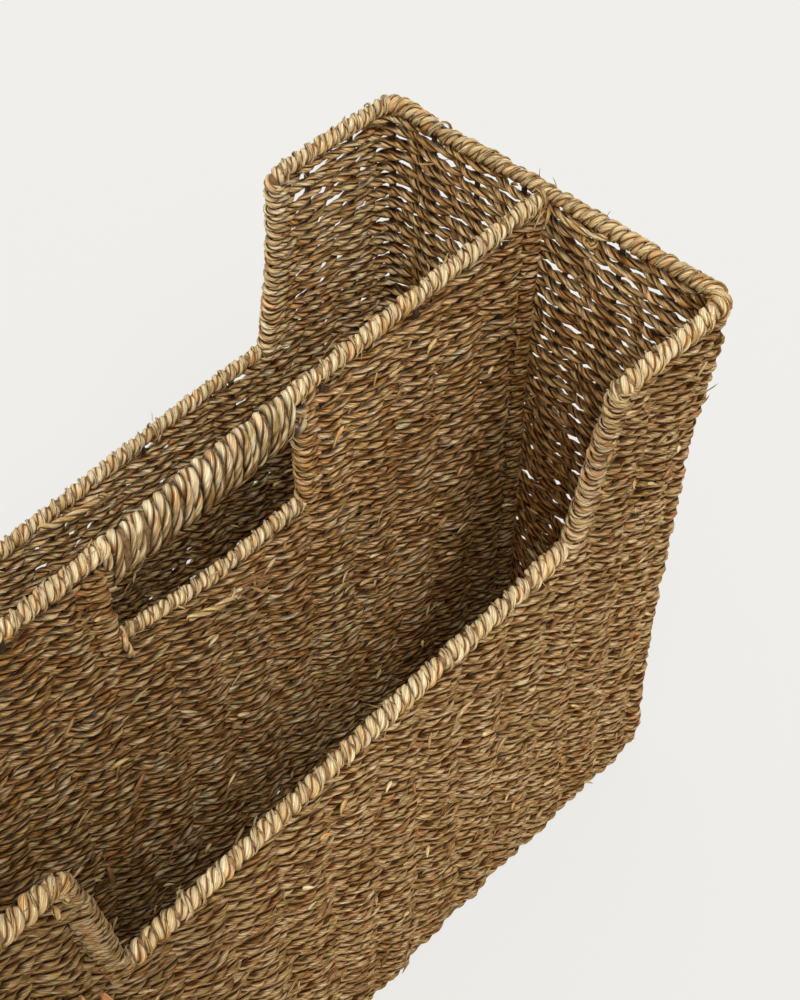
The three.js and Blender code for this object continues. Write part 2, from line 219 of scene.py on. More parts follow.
def finishSurface(tree, shader, colour, rough, height, bump):
    values = {"Strength": bump[0], "Distance": bump[1], "Height": height}
    lifted = addNode(tree, "ShaderNodeBump", None, values)
    for key, value in (("Base Color", colour), ("Roughness", rough), ("Normal", lifted.outputs[0])):
        feed(tree, shader.inputs[key], value)


# Marks of the grass: how long each is along the cord in mm, the shift that sets it apart, and its detail
marks = {
    "blush": (9.0, 31.4, 0.0), "olive": (24.0, 63.9, 1.0), "blade": (21.0, 5.0, 0.0),
    "seam": (16.0, 17.0, 1.0), "stray": (17.0, 47.1, 1.0), "split": (13.0, 88.3, 0.0),
    "edge": (7.0, 12.7, 1.0),
}
# Where each trait begins and ends on its own scale, what it says there, and False where it fades evenly
bands = {
    "blade": (0.30, 0.70, 0.0, 1.0, False), "fibre": (0.34, 0.66, 0.0, 1.0, False),
    "seam": (0.0, 0.075, 1.0, 0.0), "split": (0.0, 0.17, 1.0, 0.0), "splitLength": (0.38, 0.5, 0.15, 1.0),
    "crevice": (0.10, 0.64, 1.0, 0.0), "edge": (0.0, 0.13, 1.0, 0.0), "edgeLength": (0.40, 0.60, 0.0, 1.0),
    "fold": (0.0, 0.03, 0.8, 0.0), "underside": (-0.20, -1.25, 0.0, 1.0), "blush": (0.64, 0.72, 0.0, 1.0),
    "olive": (0.50, 0.66, 0.0, 1.0),
}
# How far lines and leaf edges show in the relief, and where folds, gaps and strayed seams lie
relief = {"line": 0.9, "edge": 0.5, "foldAt": 0.10, "gapEnd": 1.25, "stray": 2.2}
seedShifts = {"cord": 211.0, "ply": 9.7}
strandInputs = ("toneLength", "bladeCount", "fibreCount", "fibreLength", "seamCount", "gapStart")


# The strand group reads a cord's own attributes: round is the cosine and sine of the place
# round its section and the length along it, and cordSeed differs from cord to cord. gap places painted
# shade between rows; the lit-side attribute paints each cord paler on top and darker beneath, and paler where
# rubbed.
def strandGroup():
    tree = bpy.data.node_groups.new("grassStrand", "ShaderNodeTree")
    for name in strandInputs:
        tree.interface.new_socket(name, in_out="INPUT", socket_type="NodeSocketFloat")
    given = tree.nodes.new("NodeGroupInput").outputs
    reckon, ranged = partial(mathNode, tree), partial(rangeNode, tree)

    def reads(name, output="Fac"):
        return addNode(tree, "ShaderNodeAttribute", {"attribute_name": name}).outputs[output]

    parts = addNode(tree, "ShaderNodeSeparateXYZ", None, {0: reads("round", "Vector")})
    cosine, sine, along = parts.outputs
    ply = reckon("GREATER_THAN", cosine, 0.0)
    plyShift = reckon("MULTIPLY", ply, seedShifts["ply"])
    own = reckon("MULTIPLY_ADD", reads("cordSeed"), seedShifts["cord"], plyShift)

    def lengthNoise(length, shift, detail):
        place = {0: reckon("DIVIDE", along, length), 1: reckon("ADD", own, shift)}
        vector = addNode(tree, "ShaderNodeCombineXYZ", None, place).outputs[0]
        values = {"Scale": 1.0, "Detail": detail, "Vector": vector}
        return addNode(tree, "ShaderNodeTexNoise", None, values).outputs["Fac"]

    def roundNoise(count, length, shift, detail):
        place = {0: reckon("MULTIPLY", cosine, count), 1: reckon("MULTIPLY", sine, count),
                 2: reckon("DIVIDE", along, length)}
        vector = addNode(tree, "ShaderNodeCombineXYZ", None, place).outputs[0]
        values = {"Scale": 1.0, "Detail": detail, "Roughness": 0.6, "Vector": vector,
                  "W": reckon("ADD", own, shift)}
        return addNode(tree, "ShaderNodeTexNoise", {"noise_dimensions": "4D"}, values).outputs["Fac"]

    blade = ranged(roundNoise(given["bladeCount"], *marks["blade"]), *bands["blade"])
    streak = roundNoise(given["fibreCount"], given["fibreLength"], 0.0, 3.0)
    fibre = ranged(streak, *bands["fibre"])
    seam = roundNoise(given["seamCount"], *marks["seam"])
    apart = reckon("ABSOLUTE", reckon("SUBTRACT", seam, 0.5))
    strayed = reckon("MULTIPLY", reckon("SUBTRACT", lengthNoise(*marks["stray"]), 0.5), relief["stray"])
    crown = reckon("ABSOLUTE", reckon("ADD", sine, strayed))
    # Seam lines and splits along a leaf's fold are grooves in the relief and painted shade in the colour
    split = reckon("MULTIPLY", ranged(crown, *bands["split"]),
                   ranged(lengthNoise(*marks["split"]), *bands["splitLength"]))
    line = reckon("MAXIMUM", ranged(apart, *bands["seam"]), split)
    # The valley between the two plies is sunk in the relief and gets painted shade in the colour
    crevice = ranged(reckon("ABSOLUTE", cosine), *bands["crevice"])
    # A leaf's edges and a fold beside each seam are raised in the relief and get a painted highlight
    away = reckon("ABSOLUTE", reckon("SUBTRACT", reckon("ABSOLUTE", cosine), bands["crevice"][1]))
    edge = reckon("MULTIPLY", ranged(away, *bands["edge"]),
                  ranged(lengthNoise(*marks["edge"]), *bands["edgeLength"]))
    folded = ranged(reckon("ABSOLUTE", reckon("SUBTRACT", apart, relief["foldAt"])), *bands["fold"])
    edge = reckon("MAXIMUM", edge, folded)
    litSideAndRub = reads("litSideAndRub")
    height = reckon("SUBTRACT", fibre, reckon("MULTIPLY", line, relief["line"]))
    height = reckon("SUBTRACT", reckon("ADD", height, reckon("MULTIPLY", edge, relief["edge"])), crevice)
    shown = {
        "tone": lengthNoise(given["toneLength"], 0.0, 2.0),
        "blade": blade,
        "fibre": fibre,
        "line": line,
        "edge": edge,
        "crevice": crevice,
        # Painted shade where a cord meets its neighbouring row
        "gap": ranged(reads("gap"), given["gapStart"], relief["gapEnd"], 0.0, 1.0),
        # Painted shade under each cord, taken from its lit side
        "underside": ranged(litSideAndRub, *bands["underside"]),
        "litSideAndRub": litSideAndRub,
        "blush": ranged(lengthNoise(*marks["blush"]), *bands["blush"]),
        "olive": ranged(lengthNoise(*marks["olive"]), *bands["olive"]),
        "height": height,
    }
    for name in shown:
        tree.interface.new_socket(name, in_out="OUTPUT", socket_type="NodeSocketFloat")
    result = tree.nodes.new("NodeGroupOutput")
    for name, value in shown.items():
        feed(tree, result.inputs[name], value)
    return tree


strandTree = strandGroup()


def grassMaterial(name, look):
    material, tree, shader = newMaterial(name)
    values = {key: look[key] for key in strandInputs}
    seen = addNode(tree, "ShaderNodeGroup", {"node_tree": strandTree}, values).outputs
    coords = addNode(tree, "ShaderNodeTexCoord").outputs["Object"]
    values = {"Scale": look["patchScale"], "Detail": 3.0, "Vector": coords}
    patch = addNode(tree, "ShaderNodeTexNoise", None, values).outputs["Fac"]
    tone = mathNode(tree, "MULTIPLY_ADD", seen["tone"], look["toneGain"], 0.5 - 0.5 * look["toneGain"])
    for value, reach, low, high in ((patch, look["patchTone"], 0.3, 0.7),
                                    (seen["blade"], look["bladeTone"], 0.0, 1.0),
                                    (seen["fibre"], look["fibreTone"], 0.0, 1.0),
                                    # Painted light: cord tops paler and undersides darker, and rubbed cords
                                    # near the rods paler
                                    (seen["litSideAndRub"], 3 * look["litSideAndRubTone"], -3.0, 3.0),
                                    # Painted highlight along leaf edges and beside seams
                                    (seen["edge"], look["edgeHighlightTone"], -1.0, 1.0)):
        tone = mathNode(tree, "ADD", tone, rangeNode(tree, value, low, high, -reach, reach, False))
    colour = rampNode(tree, tone, look["stops"])
    # olive and blush tint the grass; the seam, row-gap, underside and crevice masks paint shade into the
    # colour
    for mask in ("olive", "blush", "line", "gap", "underside", "crevice"):
        share, tintAndShade = look[mask]
        colour = stainNode(tree, mathNode(tree, "MULTIPLY", seen[mask], share), colour, tintAndShade)
    # Painted shade that darkens parts by their place, as falling-off light and corner shade would
    for lean, reach, cast in look["shades"]:
        share = rangeNode(tree, dotNode(tree, coords, lean), *reach, 0.0, 1.0)
        if "facing" in look:
            apart = addNode(tree, "ShaderNodeVectorMath", {"operation": "ABSOLUTE"}, {0: coords}).outputs[0]
            middle = halfLength if look["facing"][0] else halfWidth
            limits = [(middle + side * stakeRadius) * mm for side in (-1, 1)]
            inner = rangeNode(tree, dotNode(tree, apart, look["facing"]), *limits, 1.0, 0.0)
            share = mathNode(tree, "MULTIPLY", share, inner)
        colour = stainNode(tree, share, colour, cast)
    rough = rangeNode(tree, seen["fibre"], 0, 1, *look["rough"], False)
    finishSurface(tree, shader, colour, rough, seen["height"], look["bump"])
    shader.inputs["Specular IOR Level"].default_value = look["gloss"]
    return material


# A look's stops are its tones from dark to pale, and each mask has its strength and its multiplied colour:
# olive and blush tint the grass, while seams, row gaps, undersides and crevices get painted shade. A painted
# shade grows with the place along its lean, in metres. Facing limits the shades to the inner side of a wall.
wallLook = {
    "toneLength": 13.0, "bladeCount": 1.5, "fibreCount": 3.4, "fibreLength": 12.0, "seamCount": 1.9,
    "gapStart": 0.80, "toneGain": 1.3, "patchScale": 16.0, "patchTone": 0.06, "bladeTone": 0.12,
    "fibreTone": 0.12, "litSideAndRubTone": 0.10, "edgeHighlightTone": 0.16,
    "stops": [(0.16, (0.215, 0.100, 0.030)), (0.36, (0.365, 0.204, 0.072)), (0.52, (0.500, 0.311, 0.128)),
              (0.70, (0.600, 0.400, 0.190)), (0.92, (0.710, 0.525, 0.305))],
    "olive": (0.45, (0.87, 1.0, 0.84)), "blush": (0.60, (1.0, 0.70, 0.54)),
    "line": (0.80, (0.37, 0.205, 0.085)), "crevice": (1.0, (0.115, 0.052, 0.016)),
    "gap": (0.95, (0.165, 0.082, 0.027)), "underside": (0.80, (0.30, 0.185, 0.085)),
    # Painted shade: the wall darker towards its left and towards its foot
    "shades": [((-1, 0, 0), (0.02, 0.16), (0.62, 0.60, 0.55)),
               ((-0.2, 0, -1), (-0.13, 0.0), (0.82, 0.79, 0.74))],
    "rough": (0.72, 0.50), "bump": (0.9, 0.0004), "gloss": 0.05,
}
# The back wall's paler stops are painted light for a wall that gets less light; it has wider, darker painted
# shade between rows and painted shade on its inner side below 235 mm
backLook = dict(
    wallLook, gapStart=0.60, litSideAndRubTone=0.13, facing=(0, 1, 0),
    stops=[(0.16, (0.290, 0.127, 0.036)), (0.34, (0.510, 0.280, 0.096)), (0.50, (0.720, 0.448, 0.185)),
           (0.66, (0.850, 0.600, 0.298)), (0.88, (0.940, 0.750, 0.465))],
    gap=(1.0, (0.11, 0.053, 0.016)), shades=[((0, 0, -1), (-0.235, -0.195), (0.60, 0.57, 0.52))],
)
# Deeper painted shade between rows, under each cord and in the crevices, and painted shade darker towards the
# left and low down towards the right end
insideLook = dict(
    wallLook, gapStart=0.50, litSideAndRubTone=0.12, edgeHighlightTone=0.05,
    stops=[(0.14, (0.220, 0.089, 0.023)), (0.32, (0.420, 0.206, 0.062)), (0.48, (0.620, 0.342, 0.130)),
           (0.64, (0.770, 0.498, 0.228)), (0.84, (0.890, 0.680, 0.400))],
    olive=(0.55, (0.87, 1.0, 0.84)), blush=(0.35, (1.0, 0.74, 0.58)), gap=(1.0, (0.080, 0.038, 0.011)),
    underside=(0.92, (0.17, 0.092, 0.038)), crevice=(1.0, (0.10, 0.040, 0.010)),
    shades=[((-1, 0, 0), (-0.10, 0.09), (0.74, 0.73, 0.70)),
            ((1, 0, -0.4), (0.062, 0.115), (0.60, 0.56, 0.50))],
)
# Painted shade: the end walls' inner sides darker towards their foot
endLook = dict(
    insideLook, gapStart=0.65, facing=(1, 0, 0),
    stops=[(0.14, (0.258, 0.105, 0.027)), (0.32, (0.480, 0.240, 0.076)), (0.48, (0.675, 0.395, 0.151)),
           (0.64, (0.810, 0.535, 0.243)), (0.84, (0.915, 0.680, 0.378))],
    olive=(0.30, (0.84, 1.0, 0.84)), underside=(0.85, (0.21, 0.12, 0.052)),
    shades=[((0, 0, -1), (-0.345, -0.165), (0.62, 0.47, 0.30))],
)
# Painted shade: the rims darker towards the left and at the right end; stronger painted light on the tops of
# their turns
rimLook = dict(
    wallLook, seamCount=2.8, fibreLength=5.0, fibreTone=0.16, gapStart=0.62, patchTone=0.05, litSideAndRubTone=0.18,
    stops=[(0.16, (0.460, 0.245, 0.075)), (0.36, (0.720, 0.460, 0.175)), (0.52, (0.880, 0.635, 0.295)),
           (0.80, (0.950, 0.785, 0.475))],
    olive=(0.15, (0.86, 1.0, 0.80)), line=(0.52, (0.50, 0.27, 0.105)), gap=(0.95, (0.26, 0.118, 0.036)),
    underside=(0.85, (0.26, 0.135, 0.052)), crevice=(0.95, (0.29, 0.125, 0.038)),
    shades=[((-1, 0, 0), (0.09, 0.17), (0.74, 0.70, 0.64)), ((1, 0, 0), (0.205, 0.225), (0.84, 0.80, 0.73))],
)
# The grip's turns get strong painted light on top and near-black painted shade beneath and between them
gripLook = dict(
    rimLook, gapStart=0.34, litSideAndRubTone=0.22, shades=[],
    stops=[(0.06, (0.130, 0.058, 0.017)), (0.30, (0.320, 0.175, 0.060)), (0.50, (0.600, 0.400, 0.180)),
           (0.80, (0.950, 0.790, 0.500))],
    olive=(0.4, (0.88, 1.0, 0.82)), line=(0.42, (0.46, 0.28, 0.13)), gap=(1.0, (0.060, 0.026, 0.008)),
    underside=(1.0, (0.065, 0.032, 0.011)), crevice=(0.95, (0.17, 0.080, 0.028)),
)
rustLook = dict(
    wallLook, olive=(0.0, (1, 1, 1)), line=(0.5, (0.4, 0.25, 0.12)), shades=[],
    stops=[(0.16, (0.200, 0.080, 0.026)), (0.50, (0.400, 0.195, 0.080)), (0.80, (0.580, 0.335, 0.150))],
)
grass = {
    # The outer walls' material carries painted shade, the back wall's also painted light
    "outer": grassMaterial("outerGrassPaintedShade", wallLook),
    "back": grassMaterial("backGrassPaintedLightAndShade", backLook),
    "inner": grassMaterial("oliveBrownGrass", insideLook),
    "end": grassMaterial("oliveEndGrass", endLook),
    "rim": grassMaterial("paleRimGrass", rimLook),
    "grip": grassMaterial("paleGripGrass", gripLook),
    "rust": grassMaterial("rustyGrass", rustLook),
}

steelLook = {"scale": 260.0, "detail": 4.0, "rough": (0.42, 0.65), "bump": (0.25, 0.0002),
             "stops": [(0.35, (0.030, 0.016, 0.008)), (0.7, (0.085, 0.045, 0.022))]}
underwrapLook = {"scale": 420.0, "detail": 3.0, "rough": (0.8, 0.8), "bump": (0.5, 0.0004),
                 "stops": [(0.35, (0.110, 0.050, 0.016)), (0.65, (0.300, 0.165, 0.060))]}


def speckledMaterial(name, look):
    material, tree, shader = newMaterial(name)
    coords = addNode(tree, "ShaderNodeTexCoord").outputs["Object"]
    values = {"Scale": look["scale"], "Detail": look["detail"], "Vector": coords}
    speck = addNode(tree, "ShaderNodeTexNoise", None, values).outputs["Fac"]
    rough = rangeNode(tree, speck, 0.3, 0.7, *look["rough"])
    finishSurface(tree, shader, rampNode(tree, speck, look["stops"]), rough, speck, look["bump"])
    return material


steel = speckledMaterial("brownPaintedSteel", steelLook)
underwrap = speckledMaterial("amberUnderwrap", underwrapLook)


# The section of a two-ply cord: two round lobes that meet in a valley on each side
lobeTurns = (-110.0, -42.0, 42.0, 110.0)


def sectionCurve(lobe, apart):
    reach = lobe + apart
    pairs = []
    for sign in (1, -1):
        for turn in lobeTurns:
            x = apart + lobe * math.cos(math.radians(turn))
            y = lobe * math.sin(math.radians(turn))
            pairs.append((sign * x / reach, sign * y / reach))
        pairs.append((0.0, sign * math.sqrt(lobe**2 - apart**2) / reach))
    return pairs


cordSection = sectionCurve(lobe=0.575, apart=0.425)
softSection = sectionCurve(lobe=0.59, apart=0.41)
ribbonSection = [(1.0, 0.0), (0.3, 0.28), (-0.7, 0.24), (-1.0, 0.0), (-0.3, -0.28), (0.7, -0.24)]
roundSection = [(math.cos(math.radians(a)), math.sin(math.radians(a))) for a in range(0, 360, 36)]
# The limit and the two shares here set each cord's painted light on top and painted shade beneath
cordSkin = {"weld": 0.002, "leafRound": 0.9, "litSideLimit": 1.5, "pressShare": 1.15, "liftShare": 0.35}


def sectionObject(name, pairs):
    curve = bpy.data.curves.new(name, "CURVE")
    curve.dimensions = "2D"
    spline = curve.splines.new("POLY")
    spline.points.add(len(pairs) - 1)
    for point, (x, y) in zip(spline.points, reversed(pairs)):
        point.co = (x, y, 0, 1)
    spline.use_cyclic_u = True
    made = bpy.data.objects.new(name, curve)
    scene.collection.objects.link(made)
    return made


# Sweeps the section along every track, with the track's own thickness and turn, into one mesh
def sweptMesh(name, tracks, section, twist):
    shape = sectionObject(name + "_section", section)
    curve = bpy.data.curves.new(name, "CURVE")
    curve.dimensions = "3D"
    curve.bevel_mode = "OBJECT"
    curve.bevel_object = shape
    curve.twist_mode = twist
    for track in tracks:
        count = len(track["points"])
        spline = curve.splines.new("POLY")
        spline.points.add(count - 1)
        places = np.ones((count, 4))
        places[:, :3] = track["points"] * mm
        spline.points.foreach_set("co", places.ravel())
        spline.points.foreach_set("radius", track["radius"] * mm)
        spline.points.foreach_set("tilt", track["tilt"])
    holder = bpy.data.objects.new(name + "_route", curve)
    scene.collection.objects.link(holder)
    bpy.context.view_layer.update()
    graph = bpy.context.evaluated_depsgraph_get()
    mesh = bpy.data.meshes.new_from_object(holder.evaluated_get(graph))
    mesh.name = name
    for spare in (holder, shape):
        data = spare.data
        bpy.data.objects.remove(spare)
        bpy.data.curves.remove(data)
    return mesh


def placesOf(mesh):
    places = np.empty(len(mesh.vertices) * 3)
    mesh.vertices.foreach_get("co", places)
    return places.reshape(-1, 3) / mm


def pullByHand(mesh, places):
    shaped = handMade(places) * mm
    mesh.vertices.foreach_set("co", shaped.ravel())


def cordMesh(name, tracks, section, twist):
    mesh = sweptMesh(name, tracks, section, twist)
    places = placesOf(mesh)
    sides = len(section)
    angles = np.array([math.atan2(y, x) for x, y in reversed(section)])
    rounds, seeds, gaps, litSideAndRub, flat, start = [], [], [], [], [], 0
    for track in tracks:
        count = len(track["points"])
        ring = np.empty((count, sides, 3))
        ring[:, :, 0] = cordSkin["leafRound"] if track.get("leaf") else np.cos(angles)  # a leaf has no valley
        ring[:, :, 1] = np.sin(angles)
        ring[:, :, 2] = track["along"][:, None]
        rounds.append(ring.reshape(-1, 3))
        seeds.append(np.full(count * sides, track["seed"]))
        here = places[start:start + count * sides].reshape(count, sides, 3)
        away = here - track["points"][:, None, :]
        toward = np.einsum("ijk,ik->ij", away, track["beside"])
        # How near each point lies to the neighbouring row, for the painted shade between rows
        gaps.append((np.abs(toward) / track["spacing"]).ravel())
        # Painted light and shade: the upper side of each cord, and the upper turns of a winding, turn paler
        # and the lower side darker; cords rubbed near the rods turn paler
        upward = away[:, :, 2] / track["spacing"]
        if "press" in track:
            upward = cordSkin["liftShare"] * upward + cordSkin["pressShare"] * track["press"][:, None, 2]
        rubbed = track.get("rubbed", np.zeros(count))[:, None]
        litSideAndRub.append((np.clip(upward, -cordSkin["litSideLimit"], cordSkin["litSideLimit"]) + rubbed).ravel())
        sharp = np.zeros((count - 1, sides), bool)
        if track.get("flatEnds"):
            sharp[[0, -1]] = True
        flat.append(sharp.ravel())
        if "press" in track:  # a strip lies flat against what it wraps
            push = np.einsum("ijk,ik->ij", away, track["press"])
            here -= (1 - track["flatness"]) * push[:, :, None] * track["press"][:, None, :]
        start += count * sides
    pullByHand(mesh, places)
    vectors = mesh.attributes.new("round", "FLOAT_VECTOR", "POINT").data
    vectors.foreach_set("vector", np.concatenate(rounds).ravel())
    for key, values in (("cordSeed", seeds), ("gap", gaps), ("litSideAndRub", litSideAndRub)):
        mesh.attributes.new(key, "FLOAT", "POINT").data.foreach_set("value", np.concatenate(values))
    mesh.polygons.foreach_set("use_smooth", ~np.concatenate(flat))
    work = bmesh.new()
    work.from_mesh(mesh)
    bmesh.ops.remove_doubles(work, verts=work.verts, dist=cordSkin["weld"] * mm)
    work.to_mesh(mesh)
    work.free()
    return mesh


def addPiece(name, mesh, material, node=None):
    mesh.materials.append(material)
    piece = bpy.data.objects.new(name, mesh)
    scene.collection.objects.link(piece)
    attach(piece, "root")
    if node:
        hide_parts(node)


# The ring runs round the basket from the front left corner, over every stake and corner post
ringTurns = np.radians([0, 0, 90, 90, 180, 180, 270, 270, 360])
quarter = math.pi * cornerRadius / 2
ringParts = [2 * straightHalf, quarter, 2 * (halfWidth - cornerRadius), quarter] * 2
ringEdges = np.concatenate([[0.0], np.cumsum(ringParts)])
ringLength = ringEdges[-1]
ringTable = np.linspace(0, ringLength, 12001)
ringHeading = np.interp(ringTable, ringEdges, ringTurns)
ringStep = ringTable[1]
ringMiddle = (ringHeading[1:] + ringHeading[:-1]) / 2
ringX = -straightHalf + np.concatenate([[0], np.cumsum(np.cos(ringMiddle) * ringStep)])
ringY = -halfWidth + np.concatenate([[0], np.cumsum(np.sin(ringMiddle) * ringStep)])


def onRing(along, out, z):
    place = np.mod(along, ringLength)
    heading = np.interp(place, ringTable, ringHeading)
    x = np.interp(place, ringTable, ringX) + out * np.sin(heading)
    y = np.interp(place, ringTable, ringY) - out * np.cos(heading)
    return np.stack([x, y, z], 1)


def onDivider(along, out, z):
    return np.stack([along, -out, z], 1)


longStations = (np.arange(stakes) - (stakes - 1) / 2) * stakePitch
endStations = (np.arange(endStakes) - (endStakes - 1) / 2) * endStakePitch
halfRing = np.concatenate([
    longStations + straightHalf,
    [ringEdges[1] + quarter / 2],
    endStations + ringEdges[2] + halfWidth - cornerRadius,
    [ringEdges[3] + quarter / 2],
])
oneRing = np.concatenate([halfRing, halfRing + ringLength / 2])
ringStations = np.concatenate([oneRing - ringLength, oneRing, oneRing + ringLength])
ringOrder = np.arange(len(ringStations))
postStations = ringEdges[1::2] + quarter / 2

weave = {
    "rowPitch": 4.118, "firstRow": 2.6, "belowRim": 5.6, "cordRadius": 2.45, "reach": 2.85, "layTurns": 69,
    "step": 2.3, "loopSteps": 6, "tailSteps": 4, "tail": 8.0, "tailSlope": 0.12, "edgeShrink": 0.94,
    "nearestStake": 14.0, "floorGap": 0.1, "loopTip": 0.8, "cutTip": 0.25, "rubFrom": 16.0, "rubTo": 26.0,
    "fadeAtRod": 12.0, "slip": 0.15, "looseLoop": 0.09, "drift": 0.36, "bulge": 0.05, "uneven": 0.075,
    "tiltDrift": 0.5, "sway": 1.1, "settleFrom": 4.0, "settleTo": 40.0, "postFat": 0.20, "postReach": 12.0,
    "openReach": 15.0, "openBelow": 10.0, "openAbove": 30.0,
}
wandering = {"shares": (0.7, 1.0, 1.7, 2.6), "spread": (0.85, 1.15), "evenOut": 2.4, "swayEvenOut": 1.8}
weaveFoot = {"share": 0.55, "from": 2.0, "to": 16.0}  # the lowest rows lie flatter on the stakes
waveLengths = {"slip": 43.0, "drift": 52.0, "bulge": 90.0, "uneven": 30.0, "tilt": 48.0}
cordSizes = (1.16, 1.16, 1.0, 1.0, 1.10, 1.10, 1.0, 1.0, 1.16)  # at each edge of the ring's parts


# A gentle wander that closes on itself round the ring
def wander(along, seed, wave):
    dice = np.random.default_rng(seed)
    total = np.zeros_like(along)
    for share in wandering["shares"]:
        turns = round(ringLength / (wave * share * dice.uniform(*wandering["spread"])))
        total += np.sin(2 * math.pi * (turns * along / ringLength + dice.random())) * share ** 0.5
    return total / wandering["evenOut"]


# Rows near each other sway up and down together, and settle at the rims and the foot.
# Each wave has its turns round the ring, its climb in 100 mm of height and its start.
swayWaves = [(13, 0.41, 0.13), (19, -0.63, 0.48), (25, 0.95, 0.77), (9, -0.22, 0.29)]


def sway(along, z, ceiling, shift=0.0):
    total = np.zeros_like(along)
    for turns, climb, start in swayWaves:
        total += np.sin(2 * math.pi * (turns * along / ringLength + climb * z / 100 + start + shift))
    settle = smoothStep(weave["settleFrom"], weave["settleTo"], z)
    settle = settle * smoothStep(weave["settleFrom"], weave["settleTo"], ceiling - z)
    return weave["sway"] * settle * total / wandering["swayEvenOut"]


def nearPost(along, width):
    apart = np.abs(np.mod(along, ringLength)[:, None] - postStations[None, :]).min(1)
    return np.exp(-0.5 * (apart / width) ** 2)


# Cords on the front wall lie closest, those of the end walls leave slits
def fatness(along):
    sizes = np.interp(np.mod(along, ringLength), ringEdges, cordSizes)
    return sizes + weave["postFat"] * nearPost(along, weave["postReach"])


def walkAlong(path):
    return np.concatenate([[0], np.cumsum(np.linalg.norm(np.diff(path, axis=0), axis=1))])


# Where a row ends at a rod, it loops round it and tucks its tail into the weave
def hookAt(rod, side, heading, looseness):
    reach = weave["reach"]
    turn = np.linspace(0, math.pi, weave["loopSteps"] + 1)[1:]
    slide = np.linspace(0, weave["tail"], weave["tailSteps"] + 1)[1:]
    loop = np.stack([rod + heading * reach * (1 + looseness) * np.sin(turn), side * reach * np.cos(turn)], 1)
    tail = np.stack([rod - heading * slide, -side * (reach - weave["tailSlope"] * slide)], 1)
    return np.concatenate([loop, tail])


# A row runs over and under the stakes
def rowRoute(start, end, stations, order, flip, rods, seed=0):
    steps = max(int(round((end - start) / weave["step"])), 4)
    along = np.linspace(start, end, steps + 1)
    phase = np.interp(along, stations, order)
    fade = weave["fadeAtRod"]
    inside = 1 - rods[0] * smoothStep(-fade, 0, start - along) - rods[1] * smoothStep(-fade, 0, along - end)
    phase += weave["slip"] * inside * wander(along, seed + 5, waveLengths["slip"])
    route = np.stack([along, weave["reach"] * np.cos(math.pi * phase) * flip], 1)
    looseness = np.random.default_rng(seed + 9).normal(0, weave["looseLoop"], 2)
    if rods[1]:
        route = np.concatenate([route, hookAt(end, np.sign(route[-1, 1]) or 1, 1, looseness[0])])
    if rods[0]:
        route = np.concatenate([hookAt(start, np.sign(route[0, 1]) or 1, -1, looseness[1])[::-1], route])
    return route


def rowTrack(row, z, route, place, rods, lift=None, fat=1.0, seedShift=0, ceiling=None,
             nextRow=(0.0, 0.0, 1.0), rub=0.0):
    along, out = route[:, 0], route[:, 1]
    seed = row * 7 + seedShift
    height = z + weave["drift"] * wander(along, seed, waveLengths["drift"])
    if ceiling is not None:
        height += sway(along, z, ceiling(along), seedShift)
    points = place(along, out * (1 + weave["bulge"] * wander(along, seed + 1, waveLengths["bulge"])), height)
    if lift is not None:
        points[:, 2] += lift(points[:, 0], points[:, 1], z)
    uneven = weave["uneven"] * wander(along, seed + 2, waveLengths["uneven"])
    radius = weave["cordRadius"] * fat * (1 + uneven)
    walked = walkAlong(route)
    travel = along.copy()
    loop = weave["loopSteps"] + weave["tailSteps"]
    if rods[1]:
        radius[-loop:] *= weave["edgeShrink"]
        travel[-loop:] = along[-loop - 1] + walked[-loop:] - walked[-loop - 1]
    if rods[0]:
        radius[:loop] *= weave["edgeShrink"]
        travel[:loop] = along[loop] - (walked[loop] - walked[:loop])
    points[:, 2] = np.maximum(points[:, 2], radius + weave["floorGap"])
    turns = weave["layTurns"] + row % 5 - 2
    phase = np.random.default_rng(seed + 3).random()
    tilt = 2 * math.pi * (travel * turns / ringLength + phase)
    tilt += weave["tiltDrift"] * wander(along, seed + 4, waveLengths["tilt"])
    tips = []
    for last, before, rod in ((0, 1, rods[0]), (-1, -2, rods[1])):
        away = points[last] - points[before]
        length = weave["loopTip"] if rod else weave["cutTip"]
        tips.append(points[last] + away / np.linalg.norm(away) * length)
    points = np.concatenate([[tips[0]], points, [tips[1]]])
    path = walkAlong(points)
    fade = np.ones_like(path)
    for rod, distance in ((rods[0], path), (rods[1], path[-1] - path)):
        if rod:
            fade *= smoothStep(weave["rubFrom"], weave["rubTo"], distance)
    return {
        "points": points, "radius": np.pad(radius, 1), "tilt": np.pad(tilt, 1, "edge"),
        "along": np.pad(travel, 1, "edge"), "beside": np.tile(nextRow, (len(points), 1)),
        "seed": (seed % 997) / 997, "flatEnds": True, "spacing": weave["rowPitch"] / 2,
        "rubbed": rub * (1 - fade),
    }


def crownLift(x, y, z):
    lift = np.zeros_like(x)
    for ear in (frontEar, backEar):
        near = smoothStep(lowRim["crownFrom"], lowRim["crownTo"], ear["side"] * y)
        lift += near * crownAt(ear, x) * min(z / lowRim["height"], 1) ** 2
    return lift


rowCount = int((rimHeight - weave["belowRim"] - weave["firstRow"]) / weave["rowPitch"]) + 1
rowHeights = weave["firstRow"] + weave["rowPitch"] * np.arange(rowCount)
lowCover = lowRim["height"] - weave["belowRim"]
ringRows = [row for row in range(rowCount) if rowHeights[row] <= lowCover]
earRows = [row for row in range(rowCount) if rowHeights[row] > lowCover]
frontCut = (-quarter, ringEdges[2])
rightCut = (ringEdges[2], ringEdges[3])
backCut = (ringEdges[3], ringEdges[6])
leftCut = (ringEdges[6], ringEdges[7])
earSpan = (60.0, 110.0)  # the rim falls to the low rim between these distances from a corner
slotSpan = 45.0


